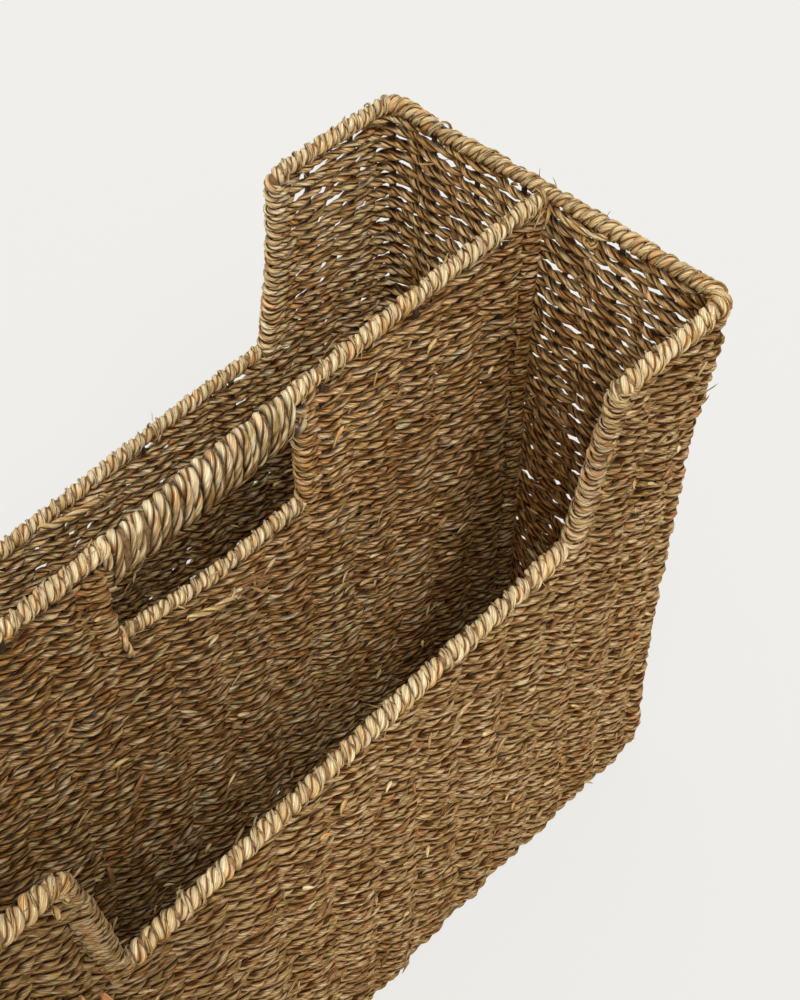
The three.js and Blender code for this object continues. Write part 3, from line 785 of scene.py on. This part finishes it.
def ceilingAt(along):
    place = np.mod(along, ringLength / 2)
    onLow = smoothStep(*earSpan, place) * smoothStep(*earSpan, ringEdges[1] - place)
    return rimHeight - (rimHeight - lowRim["height"]) * onLow


def slotCeiling(x):
    onSlot = smoothStep(slot["left"] - slotSpan, slot["left"], x)
    onSlot = onSlot * smoothStep(-slot["right"] - slotSpan, -slot["right"], -x)
    return rimHeight - (rimHeight - slotRodAt(0.0)) * onSlot


def flipOf(row):
    return 1 if row % 2 else -1


def ringTracks(rows, cut):
    tracks = []
    for row in rows:
        z = rowHeights[row]
        route = rowRoute(*cut, ringStations, ringOrder, flipOf(row), (False, False), row * 7)
        spread = smoothStep(weaveFoot["from"], weaveFoot["to"], z)
        route[:, 1] *= weaveFoot["share"] + (1 - weaveFoot["share"]) * spread
        fat = fatness(route[:, 0])
        tracks.append(rowTrack(row, z, route, onRing, (False, False), crownLift, fat, 0, ceilingAt))
    return tracks


# A rod at a row's end counts as its next stake, in place of the stakes beyond it or close to it
def endedAt(rod, stations, order, nearest, atStart):
    if atStart:
        keep = stations > rod + nearest
        return np.append(rod, stations[keep]), np.append(order[keep][0] - 1, order[keep])
    keep = stations < rod - nearest
    return np.append(stations[keep], rod), np.append(order[keep], order[keep][-1] + 1)


# An ear's rows run from the corner cut to its slanted rod and loop round it
def earTracks(ear, cut, end):
    tracks = []
    atStart = ear["side"] * end < 0  # the loop is met first on the front right and the back left
    for row in earRows:
        z = rowHeights[row]
        edge = edgeRodAt(ear, z)
        along = straightHalf + end * edge if ear["side"] < 0 else ringEdges[4] + straightHalf - end * edge
        reach = (along, cut[1]) if atStart else (cut[0], along)
        rods = (atStart, not atStart)
        stations, order = endedAt(along, ringStations, ringOrder, weave["nearestStake"], atStart)
        route = rowRoute(*reach, stations, order, flipOf(row), rods, row * 7)
        openness = ear["openness"] * smoothStep(-weave["openBelow"], weave["openAbove"], z - lowRim["height"])
        fat = fatness(route[:, 0]) - openness * (1 - nearPost(route[:, 0], weave["openReach"]))
        tracks.append(rowTrack(row, z, route, onRing, rods, None, fat, 0, ceilingAt, rub=ear["rub"]))
    return tracks


divider = {"firstRow": 2.3, "belowRim": 5.4, "underSlot": 4.6, "nearestStake": 5.0, "shortest": 14.0,
           "fat": 1.02, "split": 168.0, "seed": 5000}
base = {"inset": 9.0, "endGap": 8.0, "height": 4.7, "spread": 0.62, "fat": 1.05, "seed": 9000}


# The spans of a divider row: all along it, or on both sides of the slot, whose lower rod slants
def dividerSpans(z):
    order = np.arange(stakes + 2)
    stations = np.concatenate([[-dividerPost], longStations, [dividerPost]])
    left, right = slot["left"], slot["right"]
    if z < slotRodAt(right) - divider["underSlot"]:
        return [(-dividerPost, dividerPost, stations, order, (True, True))]
    nearest = divider["nearestStake"]
    spans = [(right, dividerPost, *endedAt(right, stations, order, nearest, True), (True, True))]
    share = (slotRodAt(left) - divider["underSlot"] - z) / (slot["rightDepth"] - slot["leftDepth"])
    reached = left + share * (right - left)
    if reached > left + divider["shortest"]:
        spans.append((-dividerPost, reached, stations, order, (True, False)))
    else:
        spans.append((-dividerPost, left, *endedAt(left, stations, order, nearest, False), (True, True)))
    return spans


def dividerTracks():
    low = dividerFloor + divider["firstRow"]
    count = int((rimHeight - divider["belowRim"] - low) / weave["rowPitch"]) + 1
    tracks = []
    for row in range(count):
        z = low + row * weave["rowPitch"]
        for start, end, at, steps, rods in dividerSpans(z):
            route = rowRoute(start, end, at, steps, flipOf(row), rods, row * 7 + divider["seed"])
            fat = divider["fat"]
            tracks.append(rowTrack(row, z, route, onDivider, rods, None, fat, divider["seed"], slotCeiling))
    return tracks


def baseTracks():
    tracks = []
    level = base["height"]
    rows = int(2 * (halfWidth - base["inset"]) / weave["rowPitch"])
    stations = np.concatenate([[-halfLength], longStations, [halfLength]])
    reach = halfLength - base["endGap"]
    for row in range(rows + 1):
        y = -halfWidth + base["inset"] + row * weave["rowPitch"]
        route = rowRoute(-reach, reach, stations, np.arange(stakes + 2), flipOf(row), (False, False))
        route[:, 1] *= base["spread"]

        def onBase(along, out, z):
            return np.stack([along, np.full_like(along, y) + z - level, level + out], 1)

        track = rowTrack(row, level, route, onBase, (False, False), None, base["fat"], base["seed"], None,
                         (0.0, 1.0, 0.0))
        tracks.append(track)
    return tracks


def addWeave(name, tracks, material, node):
    mesh = cordMesh(name, tracks, cordSection, "Z_UP")
    addPiece(name, mesh, material, node)


def addWeaves():
    half = len(ringRows) // 2
    for wall, cut, ear, material in (("front", frontCut, frontEar, grass["outer"]),
                                     ("back", backCut, backEar, grass["back"])):
        node = wall + "_weave"
        addWeave(node + "_lower", ringTracks(ringRows[:half], cut), material, node)
        ears = earTracks(ear, cut, 1) + earTracks(ear, cut, -1)
        addWeave(node + "_upper", ringTracks(ringRows[half:], cut) + ears, material, node)
    for end, cut in (("right", rightCut), ("left", leftCut)):
        node = end + "_end_weave"
        addWeave(node + "_cords", ringTracks(range(rowCount), cut), grass["end"], node)
    tracks = dividerTracks()
    high = [track["points"][:, 2].mean() >= dividerFloor + divider["split"] for track in tracks]
    for part, wanted in (("lower", False), ("upper", True)):
        chosen = [track for track, isHigh in zip(tracks, high) if isHigh == wanted]
        addWeave("divider_weave_" + part, chosen, grass["inner"], "divider_weave")
    addWeave("base_weave_cords", baseTracks(), grass["inner"], "base_weave")
    print("weaves laid")


addWeaves()


# A rim's strip is a flat two-ply cord wound round the rod, over a thin underwrap
binding = {
    "pitch": 5.0, "centreRadius": 3.0, "halfStrip": 2.5, "flatness": 0.62, "lay": 21.0, "ringsPerTurn": 16,
    "underRadius": 2.9, "jitter": 0.6, "slack": 1.1, "knuckle": 0.04, "swell": 0.27,
}
# A thin strand of the same grass strays over the turns
strayStrand = dict(binding, pitch=8.3, centreRadius=4.3, halfStrip=0.9, flatness=0.55, lay=17.0, jitter=1.5,
                   slack=1.5, knuckle=0.0, swell=0.30)
# How often in a turn a wound cord's fullness changes and by how much, and how far it follows a swell
fullness = {"beats": 2.3, "spread": 0.09, "atBulge": 0.16, "atSwell": 0.3, "atTips": 0.7}
rimSeeds = {"end": 11, "ear": 21, "divider": 31, "low": 41, "slot": 51, "stray": 500, "under": 0.3}
pathStep = 2.0
rimSizes = {"end": 1.0, "frontEar": 1.14, "backEar": 1.0, "divider": 1.0, "frontLow": 1.06, "backLow": 0.93,
            "slot": 0.86}
rimEnds = {"endLead": 4.0, "earLead": 4.5, "earBend": 6.0, "earOverrun": 1.5, "dividerGap": 3.0,
           "leftOfGrip": 9.0, "rightOfGrip": 7.0, "lowGap": 2.0, "slotOverrun": 0.5,
           "frontBulge": (1.1, 6.0), "backBulge": (0.5, 6.0)}


def framed(path):
    walked = walkAlong(path)
    ahead = np.gradient(path, walked, axis=0)
    ahead /= np.linalg.norm(ahead, axis=1)[:, None]
    side = np.cross(ahead, [0, 0, 1.0])
    side /= np.linalg.norm(side, axis=1)[:, None]
    return walked, ahead, side, np.cross(side, ahead)


def interpolate(walked, values, at):
    return np.stack([np.interp(at, walked, values[:, k]) for k in range(3)], 1)


def evenly(path, step):
    walked = walkAlong(path)
    count = max(int(walked[-1] / step), 2)
    return interpolate(walked, path, np.linspace(0, walked[-1], count + 1))


# Each turn of a winding is set a little off its place, and is a little fuller or slimmer than the last
def windingTrack(path, seed, settings, oval=(1.0, 1.0)):
    walked, ahead, side, up = framed(path)
    turns = max(int(round(walked[-1] / settings["pitch"])), 2)
    rings = turns * settings["ringsPerTurn"]
    angle = np.linspace(0, 2 * math.pi * turns, rings + 1)
    dice = np.random.default_rng(seed)
    beat = np.arange(rings + 1) / settings["ringsPerTurn"]
    knots = np.arange(turns + 2)
    fineKnots = np.arange(int(turns * fullness["beats"]) + 3)
    jitter = np.interp(beat, knots, dice.normal(0, settings["jitter"], turns + 2))
    swell = np.interp(beat, knots, dice.normal(0, settings["swell"], turns + 2))
    fineFat = dice.normal(0, fullness["spread"], len(fineKnots))
    fat = np.interp(beat * fullness["beats"], fineKnots, fineFat)
    at = np.clip(beat / turns * walked[-1] + jitter, 0, walked[-1])
    centre = interpolate(walked, path, at)
    sideways, upwards = interpolate(walked, side, at), interpolate(walked, up, at)
    for spot, extra, spread in settings.get("bulges", ()):
        more = extra * np.exp(-0.5 * ((at - spot) / spread) ** 2)
        swell = swell + more
        fat = fat + fullness["atBulge"] * more
    reachSide = settings["centreRadius"] * oval[0] + swell
    reachUp = settings["centreRadius"] * oval[1] + swell
    sine, cosine = np.sin(angle), np.cos(angle)
    points = centre + sideways * (reachSide * cosine)[:, None] + upwards * (reachUp * sine)[:, None]
    press = sideways * (cosine / oval[0])[:, None] + upwards * (sine / oval[1])[:, None]
    press /= np.linalg.norm(press, axis=1)[:, None]
    travel = walkAlong(points)
    slack = np.interp(beat, knots, np.cumsum(dice.normal(0, settings["slack"], turns + 2)))
    radius = settings["halfStrip"] * (1 + fullness["atSwell"] * swell + fat + settings["knuckle"] * sine)
    radius[[0, -1]] = 0.0
    radius[[1, -2]] *= fullness["atTips"]
    return {
        "points": points, "radius": radius, "tilt": 2 * math.pi * travel / settings["lay"] + slack,
        "along": travel, "press": press, "flatness": settings["flatness"], "seed": dice.random(),
        "beside": interpolate(walked, ahead, at), "spacing": settings["pitch"] / 2,
    }


def underTrack(path, radius):
    walked, ahead, _, _ = framed(path)
    sizes = np.full(len(path), radius)
    sizes[[0, -1]] = 0.0
    return {"points": path, "radius": sizes, "tilt": np.zeros(len(path)), "along": walked,
            "seed": rimSeeds["under"], "flatEnds": True, "beside": ahead, "spacing": radius}


rimPaths = []


def addBinding(node, path, seed, size, bulges=()):
    path = evenly(path, pathStep)
    rimPaths.append(path)
    wound = []
    for settings, strandSeed in ((binding, seed), (strayStrand, seed + rimSeeds["stray"])):
        scaled = {key: size * settings[key] for key in ("pitch", "centreRadius", "halfStrip")}
        wound.append(windingTrack(path, strandSeed, dict(settings, bulges=bulges, **scaled)))
    strip = cordMesh(node + "_strip", wound, softSection, "MINIMUM")
    addPiece(node + "_strip", strip, grass["rim"], node)
    covered = underTrack(path, size * binding["underRadius"])
    under = cordMesh(node + "_underwrap", [covered], roundSection, "MINIMUM")
    addPiece(node + "_underwrap", under, underwrap)


def endRimPath(end):
    turn = np.linspace(0, math.pi / 2, 9)
    x = straightHalf + cornerRadius * np.sin(turn)
    y = -halfWidth + cornerRadius * (1 - np.cos(turn))
    half = np.concatenate([[[straightHalf - rimEnds["endLead"], -halfWidth]], np.stack([x, y], 1)])
    plan = np.concatenate([half, half[::-1] * [1, -1]])
    return np.stack([end * plan[:, 0], plan[:, 1], np.full(len(plan), rimHeight)], 1)


# The ear's strip goes on round its tip and down the slanted rod for a turn
def earRimPath(ear, end):
    tip = np.array([ear["tip"], ear["tipHeight"]])
    inner = np.array([straightHalf - rimEnds["earLead"], rimHeight])
    foot = np.array([ear["foot"], lowRim["height"]])
    bend = rimEnds["earBend"]
    ahead = (inner - tip) / np.linalg.norm(inner - tip)
    down = (foot - tip) / np.linalg.norm(foot - tip)
    share = np.linspace(0, 1, 7)[:, None]
    arc = tip + (1 - share) ** 2 * bend * ahead + share**2 * bend * down
    flat = np.concatenate([[inner], arc, [tip + (bend + rimEnds["earOverrun"]) * down]])
    return np.stack([end * flat[:, 0], np.full(len(flat), ear["side"] * halfWidth), flat[:, 1]], 1)


def addBindings():
    ears = (("front", frontEar), ("back", backEar))
    cornerAt = rimEnds["endLead"] + quarter / 2
    rimLength = 2 * cornerAt + quarter + 2 * (halfWidth - cornerRadius)
    corners = ((cornerAt, *rimEnds["frontBulge"]), (rimLength - cornerAt, *rimEnds["backBulge"]))
    for end, side in ((1, "right"), (-1, "left")):
        seed = rimSeeds["end"] + end
        addBinding(side + "_end_rim_binding", endRimPath(end), seed, rimSizes["end"], corners)
        for wall, ear in ears:
            seed = rimSeeds["ear"] + end * 3 + ear["side"]
            addBinding(wall + "_" + side + "_ear_binding", earRimPath(ear, end), seed, rimSizes[wall + "Ear"])
        inner = slot["left"] + rimEnds["leftOfGrip"] if end < 0 else slot["right"] - rimEnds["rightOfGrip"]
        path = np.array([[end * (halfLength - rimEnds["dividerGap"]), 0, rimHeight], [inner, 0, rimHeight]])
        seed = rimSeeds["divider"] + end
        addBinding("divider_" + side + "_rim_binding", path, seed, rimSizes["divider"])
    for wall, ear in ears:
        reach = ear["foot"] - rimEnds["lowGap"]
        x = np.linspace(-reach, reach, 41)
        path = np.stack([x, np.full_like(x, ear["side"] * halfWidth), lowRim["height"] + crownAt(ear, x)], 1)
        addBinding(wall + "_low_rim_binding", path, rimSeeds["low"] + ear["side"], rimSizes[wall + "Low"])
    x = np.linspace(slot["left"] - rimEnds["slotOverrun"], slot["right"] + rimEnds["slotOverrun"], 12)
    path = np.stack([x, 0 * x, slotRodAt(x)], 1)
    addBinding("hand_slot_rim_binding", path, rimSeeds["slot"], rimSizes["slot"])
    print("rims bound")


addBindings()

# The grip's cord winds round an upright bundle, and two short windings cover the tops of the posts
grip = {"loops": 19, "thickness": 3.0, "halfStrip": 2.85, "flatness": 0.62, "lay": 27.0, "ringsPerTurn": 36,
        "jitter": 0.7, "slack": 0.9, "knuckle": 0.11, "swell": 0.34, "overrunLeft": 2.0, "overrunRight": 2.6,
        "seed": 77}
gripPosts = {"places": (slot["left"] + 3.5, slot["right"] - 2.0), "depths": (26.0, 18.0), "below": 4.0,
             "lean": (0.6, -0.02), "centreRadius": 3.3, "swell": 0.4, "seeds": (80, 81)}
gripCore = {"segments": 28, "inset": 0.9, "endGap": 1.5}


def addGrip():
    middle = (gripLow[2] + gripHigh[2]) / 2
    halfY, halfZ = (gripHigh[1:] - gripLow[1:]) / 2 - grip["thickness"] / 2
    ends = [[gripLow[0] - grip["overrunLeft"], 0, middle], [gripHigh[0] + grip["overrunRight"], 0, middle]]
    path = evenly(np.array(ends), pathStep)
    settings = dict(grip, pitch=(path[-1, 0] - path[0, 0]) / grip["loops"], centreRadius=1.0)
    tracks = [windingTrack(path, grip["seed"], settings, (halfY, halfZ))]
    postWinding = dict(binding, centreRadius=gripPosts["centreRadius"], swell=gripPosts["swell"])
    top = rimHeight - gripPosts["below"]
    for seed, x, deep in zip(gripPosts["seeds"], gripPosts["places"], gripPosts["depths"]):
        leanX, leanY = gripPosts["lean"]
        post = evenly(np.array([[x, -leanY, top], [x + leanX, 0, top - deep]]), pathStep)
        tracks.append(windingTrack(post, seed, postWinding))
    mesh = cordMesh("grip_winding_cord", tracks, softSection, "MINIMUM")
    addPiece("grip_winding_cord", mesh, grass["grip"], "grip_winding")
    work = bmesh.new()
    bmesh.ops.create_circle(work, cap_ends=True, radius=1.0, segments=gripCore["segments"])
    inset, gap = gripCore["inset"], gripCore["endGap"]
    bmesh.ops.scale(work, vec=((halfZ - inset) * mm, (halfY - inset) * mm, 1), verts=work.verts)
    made = bmesh.ops.extrude_face_region(work, geom=work.faces[:])
    far = [item for item in made["geom"] if isinstance(item, bmesh.types.BMVert)]
    bmesh.ops.translate(work, vec=(0, 0, (gripHigh[0] - gripLow[0] - 2 * gap) * mm), verts=far)
    for vert in work.verts:
        x, y, z = vert.co
        vert.co = ((gripLow[0] + gap) * mm + z, y, middle * mm + x)
    bmesh.ops.recalc_face_normals(work, faces=work.faces)
    mesh = bpy.data.meshes.new("grip_core_bundle")
    work.to_mesh(mesh)
    work.free()
    addPiece("grip_core_bundle", mesh, underwrap, "grip_core")
    print("grip wound")


addGrip()

# Bits of leaf that lift off the cords, hairs on the rims, and the few knots that show
looseColours = {"straw": grass["rim"], "olive": grass["outer"], "rust": grass["rust"]}
sortShares = {"straw": 0.36, "olive": 0.40, "rust": 0.24}
loose = {
    "length": (3.5, 12.0), "halfWidth": (0.55, 1.25), "lift": (0.5, 3.6), "surface": 5.9, "spacing": 9.0,
    "heading": (-0.25, 0.42), "curl": 0.16, "tilt": 0.4, "hairLength": (2.5, 9.0), "hairEvery": 9,
    "hairRadii": [0.16, 0.22, 0.5], "hairBase": 4.0, "hairDroop": 0.02, "hairAngles": (-0.5, 3.6),
    "hairRise": (0.25, 0.8), "hairLean": (-1.6, 1.6), "stubStep": 3.0, "knotStep": 1.2, "knotLay": 17.0,
    "seed": 404,
}
leafShape = np.array([0.0, 0.8, 1.0, 0.95, 0.75, 0.45, 0.0])
hairShape = np.array([0.0, 1.0, 1.0, 0.85, 0.6, 0.0])


def bladeTrack(points, radius, seed, turn=0.0):
    return {
        "points": points, "radius": radius, "tilt": np.full(len(points), turn), "along": walkAlong(points),
        "beside": np.tile((0.0, 0.0, 1.0), (len(points), 1)), "seed": seed, "spacing": loose["spacing"],
        "flatEnds": True, "leaf": True,
    }


def scatterBlades(dice, place, alongRange, zRange, side, count, spare=None):
    made = []
    share = np.linspace(0, 1, len(leafShape))
    while len(made) < count:
        along, z = dice.uniform(*alongRange), dice.uniform(*zRange)
        length, wide = dice.uniform(*loose["length"]), dice.uniform(*loose["halfWidth"])
        lift, turn = dice.uniform(*loose["lift"]), dice.normal(*loose["heading"])
        heading = dice.choice([-1, 1])
        curl = dice.normal(0, loose["curl"]) * length
        tilt, seed = dice.normal(0, loose["tilt"]), dice.random()
        if spare is not None and spare(along, z):
            continue
        u = along + heading * length * share * math.cos(turn)
        height = z + length * share * math.sin(turn) + curl * share * (1 - share) * 2
        out = side * (loose["surface"] + lift * share**2)
        made.append(bladeTrack(place(u, out, height), wide * leafShape, seed, tilt))
    return made


def scatterHairs(dice, path, count):
    made = []
    _, ahead, side, up = framed(path)
    share = np.linspace(0, 1, len(hairShape))[:, None]
    for _ in range(count):
        k = dice.integers(2, len(path) - 2)
        angle = dice.uniform(*loose["hairAngles"])
        away = side[k] * math.cos(angle) + up[k] * math.sin(angle)
        length = dice.uniform(*loose["hairLength"])
        lean = dice.uniform(*loose["hairLean"])
        drawn = away * dice.uniform(*loose["hairRise"]) + ahead[k] * lean
        drawn /= np.linalg.norm(drawn)
        points = path[k] + away * loose["hairBase"] + drawn * share * length
        points = points - np.array([0, 0, loose["hairDroop"]]) * (share * length) ** 2
        radius = dice.choice(loose["hairRadii"]) * hairShape
        made.append(bladeTrack(points, radius, dice.random()))
    return made


# Where the knots and cord ends show, each with its radius
knotPlaces = [
    # under the slot
    (((-19, -5.6, 295.5), (-12, -7.6, 295), (-4, -8.4, 292), (5, -8.2, 290.5), (13, -6.0, 287.5)), 1.9),
    (((8, -6.8, 294), (5, -9.0, 291), (7, -9.2, 287.5), (11, -7.0, 287)), 1.4),
    # under the end's rim
    (((219.6, -7, 371.5), (217.4, -13, 373), (216.6, -20, 373), (217.2, -29, 373.6), (219.4, -37, 375)), 1.7),
    (((218.2, -24, 371.5), (215.6, -27, 368.6), (216.2, -31, 368), (218.0, -32.5, 371)), 1.7),
    # below the near ear's rim
    (((-162.8, -99.5, 367.2), (-163.6, -102.6, 366.2), (-164.4, -105.4, 364.6)), 1.9),
    (((-158.6, -99.0, 367.0), (-158.0, -101.4, 366.6), (-157.2, -103.8, 366.2)), 1.6),
    # at the slot's lower corner
    (((-48.5, -4.2, 315), (-49.0, -6.2, 310), (-48.8, -6.4, 303), (-48.0, -5.2, 296)), 1.9),
    # inside the back wall
    (((-24, 93.0, 280.6), (-16, 90.4, 278.4), (-5, 89.6, 276.0), (5, 89.8, 273.6), (13, 91.5, 272.2)), 2.2),
    (((11, 91.0, 274.5), (14, 89.0, 273), (13, 89.2, 270), (9, 91.0, 269.5)), 1.5),
]
# Broken ends of rusty leaf that show on the divider's near side and low on the near ear, with their radii
stubs = [
    ((-89.1, -7.4, 162.0), (-89.8, -7.8, 141.0), 2.1),
    ((-57.0, -6.6, 211.0), (-67.0, -7.6, 203.0), 1.5),
    ((-163.5, -105.4, 303.0), (-164.5, -105.8, 284.0), 2.0),
    ((-152.0, -105.4, 287.0), (-153.0, -106.0, 262.0), 3.2),
]
margins = {"corner": 4.0, "endCorner": 2.0, "earWidth": 78.0, "divider": 8.0, "slot": 8.0}
stretches = {
    "front": (margins["corner"], ringEdges[1] - margins["corner"]),
    "ear": (ringEdges[1] - margins["earWidth"], ringEdges[1] - margins["endCorner"]),
    "right": (ringEdges[2] + margins["endCorner"], ringEdges[3] - margins["endCorner"]),
    "back": (ringEdges[4] + margins["corner"], ringEdges[5] - margins["corner"]),
    "left": (ringEdges[6] + margins["endCorner"], ringEdges[7] - margins["endCorner"]),
    "divider": (margins["divider"] - dividerPost, dividerPost - margins["divider"]),
}
# Where leaves lift off: the stretch and its heights, the outer (1) or inner (-1) side, and how many
leafFields = [
    ("front", (10, 262), 1, 170), ("front", (60, 262), -1, 50), ("ear", (262, 364), 1, 24),
    ("right", (30, 366), -1, 50), ("right", (12, 366), 1, 60), ("back", (60, 264), -1, 80),
    ("back", (12, 264), 1, 110), ("left", (12, 366), 1, 60), ("left", (60, 366), -1, 40),
    ("divider", (30, 364), 1, 200), ("divider", (30, 364), -1, 90),
]
tuft = {"along": (4, 22), "heights": (281, 293), "count": 16, "hang": 3.0}
# Frayed leaf ends where the divider's rim meets the right end
fray = {"count": 9, "x": 221.0, "apart": 0.8, "across": (-6, 3), "z": 373.5, "step": 2.5, "radius": 0.8,
        "reach": ((-14, -7), (-5, 1), (-9, -4)), "arch": (0, -1.5, 2.5)}


def overSlot(along, z):
    margin = margins["slot"]
    return slot["left"] - margin < along < slot["right"] + margin and z > slotRodAt(along) - margin


def tuftTracks(dice):
    tracks = scatterBlades(dice, onDivider, tuft["along"], tuft["heights"], 1, tuft["count"])
    for track in tracks:
        track["points"][:, 1] -= np.linspace(0, tuft["hang"], len(leafShape))
    for start, finish, radius in stubs:
        points = evenly(np.array([start, finish]), loose["stubStep"])
        shape = np.pad(np.ones(len(points) - 2), 1)
        tracks.append(bladeTrack(points, radius * shape, dice.random(), 0.2))
    return tracks


def knotTracks(dice):
    knots = []
    for places, radius in knotPlaces:
        points = evenly(np.array(places), loose["knotStep"])
        taper = np.ones(len(points))
        taper[[0, -1]] = 0.0
        taper[[1, -2]] = 0.8
        track = bladeTrack(points, radius * taper, dice.random())
        track.update(tilt=track["along"] * 2 * math.pi / loose["knotLay"], leaf=False)
        knots.append(track)
    return knots


def frayTracks(dice):
    frayed = []
    for k in range(fray["count"]):
        start = np.array([fray["x"] - k * fray["apart"], dice.uniform(*fray["across"]), fray["z"]])
        finish = start + [dice.uniform(*limits) for limits in fray["reach"]]
        middle = (start + finish) / 2 + fray["arch"]
        points = evenly(np.array([start, middle, finish]), fray["step"])
        slim = np.sin(np.linspace(0.05, math.pi - 0.02, len(points)))
        slim[[0, -1]] = 0.0
        frayed.append(bladeTrack(points, fray["radius"] * slim, dice.random(), 0.6))
    return frayed


def addLoose():
    dice = np.random.default_rng(loose["seed"])
    blades = []
    for stretch, heights, side, count in leafFields:
        place, spare = (onDivider, overSlot) if stretch == "divider" else (onRing, None)
        blades += scatterBlades(dice, place, stretches[stretch], heights, side, count, spare)
    rusty = tuftTracks(dice)
    hairs = []
    for path in rimPaths:
        hairs += scatterHairs(dice, path, int(len(path) / loose["hairEvery"]) + 1)
    mesh = cordMesh("loose_knots", knotTracks(dice), cordSection, "MINIMUM")
    addPiece("loose_knots", mesh, grass["rim"])
    hairs += frayTracks(dice)
    sorts = dice.choice(list(sortShares), len(blades), p=list(sortShares.values()))
    groups = {"straw": hairs, "olive": [], "rust": rusty}
    for track, sort in zip(blades, sorts):
        groups[str(sort)].append(track)
    for sort, tracks in groups.items():
        name = "loose_" + sort + "_blades"
        addPiece(name, cordMesh(name, tracks, ribbonSection, "Z_UP"), looseColours[sort])
    print("loose pieces laid:", sum(len(tracks) for tracks in groups.values()))


addLoose()

# The rods follow the weave: cut into short lengths, they take the same pulls
rodCuts = {"spacing": 14.0, "lowest": 7.0, "endGap": 8.0}


def dressFrames():
    for name in ("base_frame", "left_end_frame"):
        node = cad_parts[name]
        node.data.materials.clear()
        node.data.materials.append(steel)
    heights = np.arange(bottomHeight + rodCuts["lowest"], rimHeight, rodCuts["spacing"])
    lengths = np.arange(rodCuts["endGap"] - straightHalf, straightHalf, rodCuts["spacing"])
    for name in ("front_frame", "back_frame", "right_end_frame", "divider_frame"):
        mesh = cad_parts[name].data.copy()
        work = bmesh.new()
        work.from_mesh(mesh)
        cuts = [((0, 0, z * mm), (0, 0, 1)) for z in heights]
        if name != "right_end_frame":
            cuts += [((x * mm, 0, 0), (1, 0, 0)) for x in lengths]
        for place, facing in cuts:
            parts = work.verts[:] + work.edges[:] + work.faces[:]
            bmesh.ops.bisect_plane(work, geom=parts, plane_co=place, plane_no=facing)
        work.to_mesh(mesh)
        work.free()
        pullByHand(mesh, placesOf(mesh))
        mesh.materials.clear()
        addPiece(name + "_rods", mesh, steel, name)
    print("frames painted")


dressFrames()

# A pale studio floor and sky that the camera sees as paper, with a faint shadow
studio = {
    "pale": (0.872, 0.863, 0.831, 1), "floor": (0.60, 0.594, 0.573, 1), "floorSize": 6.0,
    "floorRough": 0.9, "floorGloss": 0.0, "shadowShare": 0.22, "sky": 0.72, "sun": 2.6,
    "sunTurn": (27.0, 0.0, -32.0), "sunSpread": 35.0,
}


def addFloor():
    work = bmesh.new()
    bmesh.ops.create_grid(work, x_segments=1, y_segments=1, size=studio["floorSize"])
    mesh = bpy.data.meshes.new("studio_floor")
    work.to_mesh(mesh)
    work.free()
    material, tree, shader = newMaterial("studioPaper")
    for key, value in (("Base Color", studio["floor"]), ("Roughness", studio["floorRough"]),
                       ("Specular IOR Level", studio["floorGloss"])):
        shader.inputs[key].default_value = value
    paper = addNode(tree, "ShaderNodeEmission", None, {"Color": studio["pale"], "Strength": 1.0})
    seen = addNode(tree, "ShaderNodeLightPath").outputs["Is Camera Ray"]
    share = mathNode(tree, "MULTIPLY", seen, 1 - studio["shadowShare"])
    mix = addNode(tree, "ShaderNodeMixShader", None, {0: share, 1: shader.outputs[0], 2: paper.outputs[0]})
    feed(tree, tree.nodes["Material Output"].inputs[0], mix.outputs[0])
    mesh.materials.append(material)
    floor = bpy.data.objects.new("studio_floor", mesh)
    scene.collection.objects.link(floor)
    floor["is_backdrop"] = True


def addSky():
    world = bpy.data.worlds.new("studioSky")
    scene.world = world
    world.use_nodes = True
    tree = world.node_tree
    sky = tree.nodes["Background"]
    sky.inputs["Color"].default_value = (1, 1, 1, 1)
    sky.inputs["Strength"].default_value = studio["sky"]
    pale = addNode(tree, "ShaderNodeBackground", None, {"Color": studio["pale"], "Strength": 1.0})
    seen = addNode(tree, "ShaderNodeLightPath").outputs["Is Camera Ray"]
    mix = addNode(tree, "ShaderNodeMixShader", None, {0: seen, 1: sky.outputs[0], 2: pale.outputs[0]})
    feed(tree, tree.nodes["World Output"].inputs[0], mix.outputs[0])
    lamp = bpy.data.lights.new("softSun", "SUN")
    lamp.energy = studio["sun"]
    lamp.angle = math.radians(studio["sunSpread"])
    sun = bpy.data.objects.new("softSun", lamp)
    sun.rotation_euler = [math.radians(a) for a in studio["sunTurn"]]
    scene.collection.objects.link(sun)


addFloor()
addSky()
scene.view_settings.view_transform = "Standard"

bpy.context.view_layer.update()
total = sum(len(p.data.polygons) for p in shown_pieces() if p.type == "MESH")
print("faces in all pieces:", total)
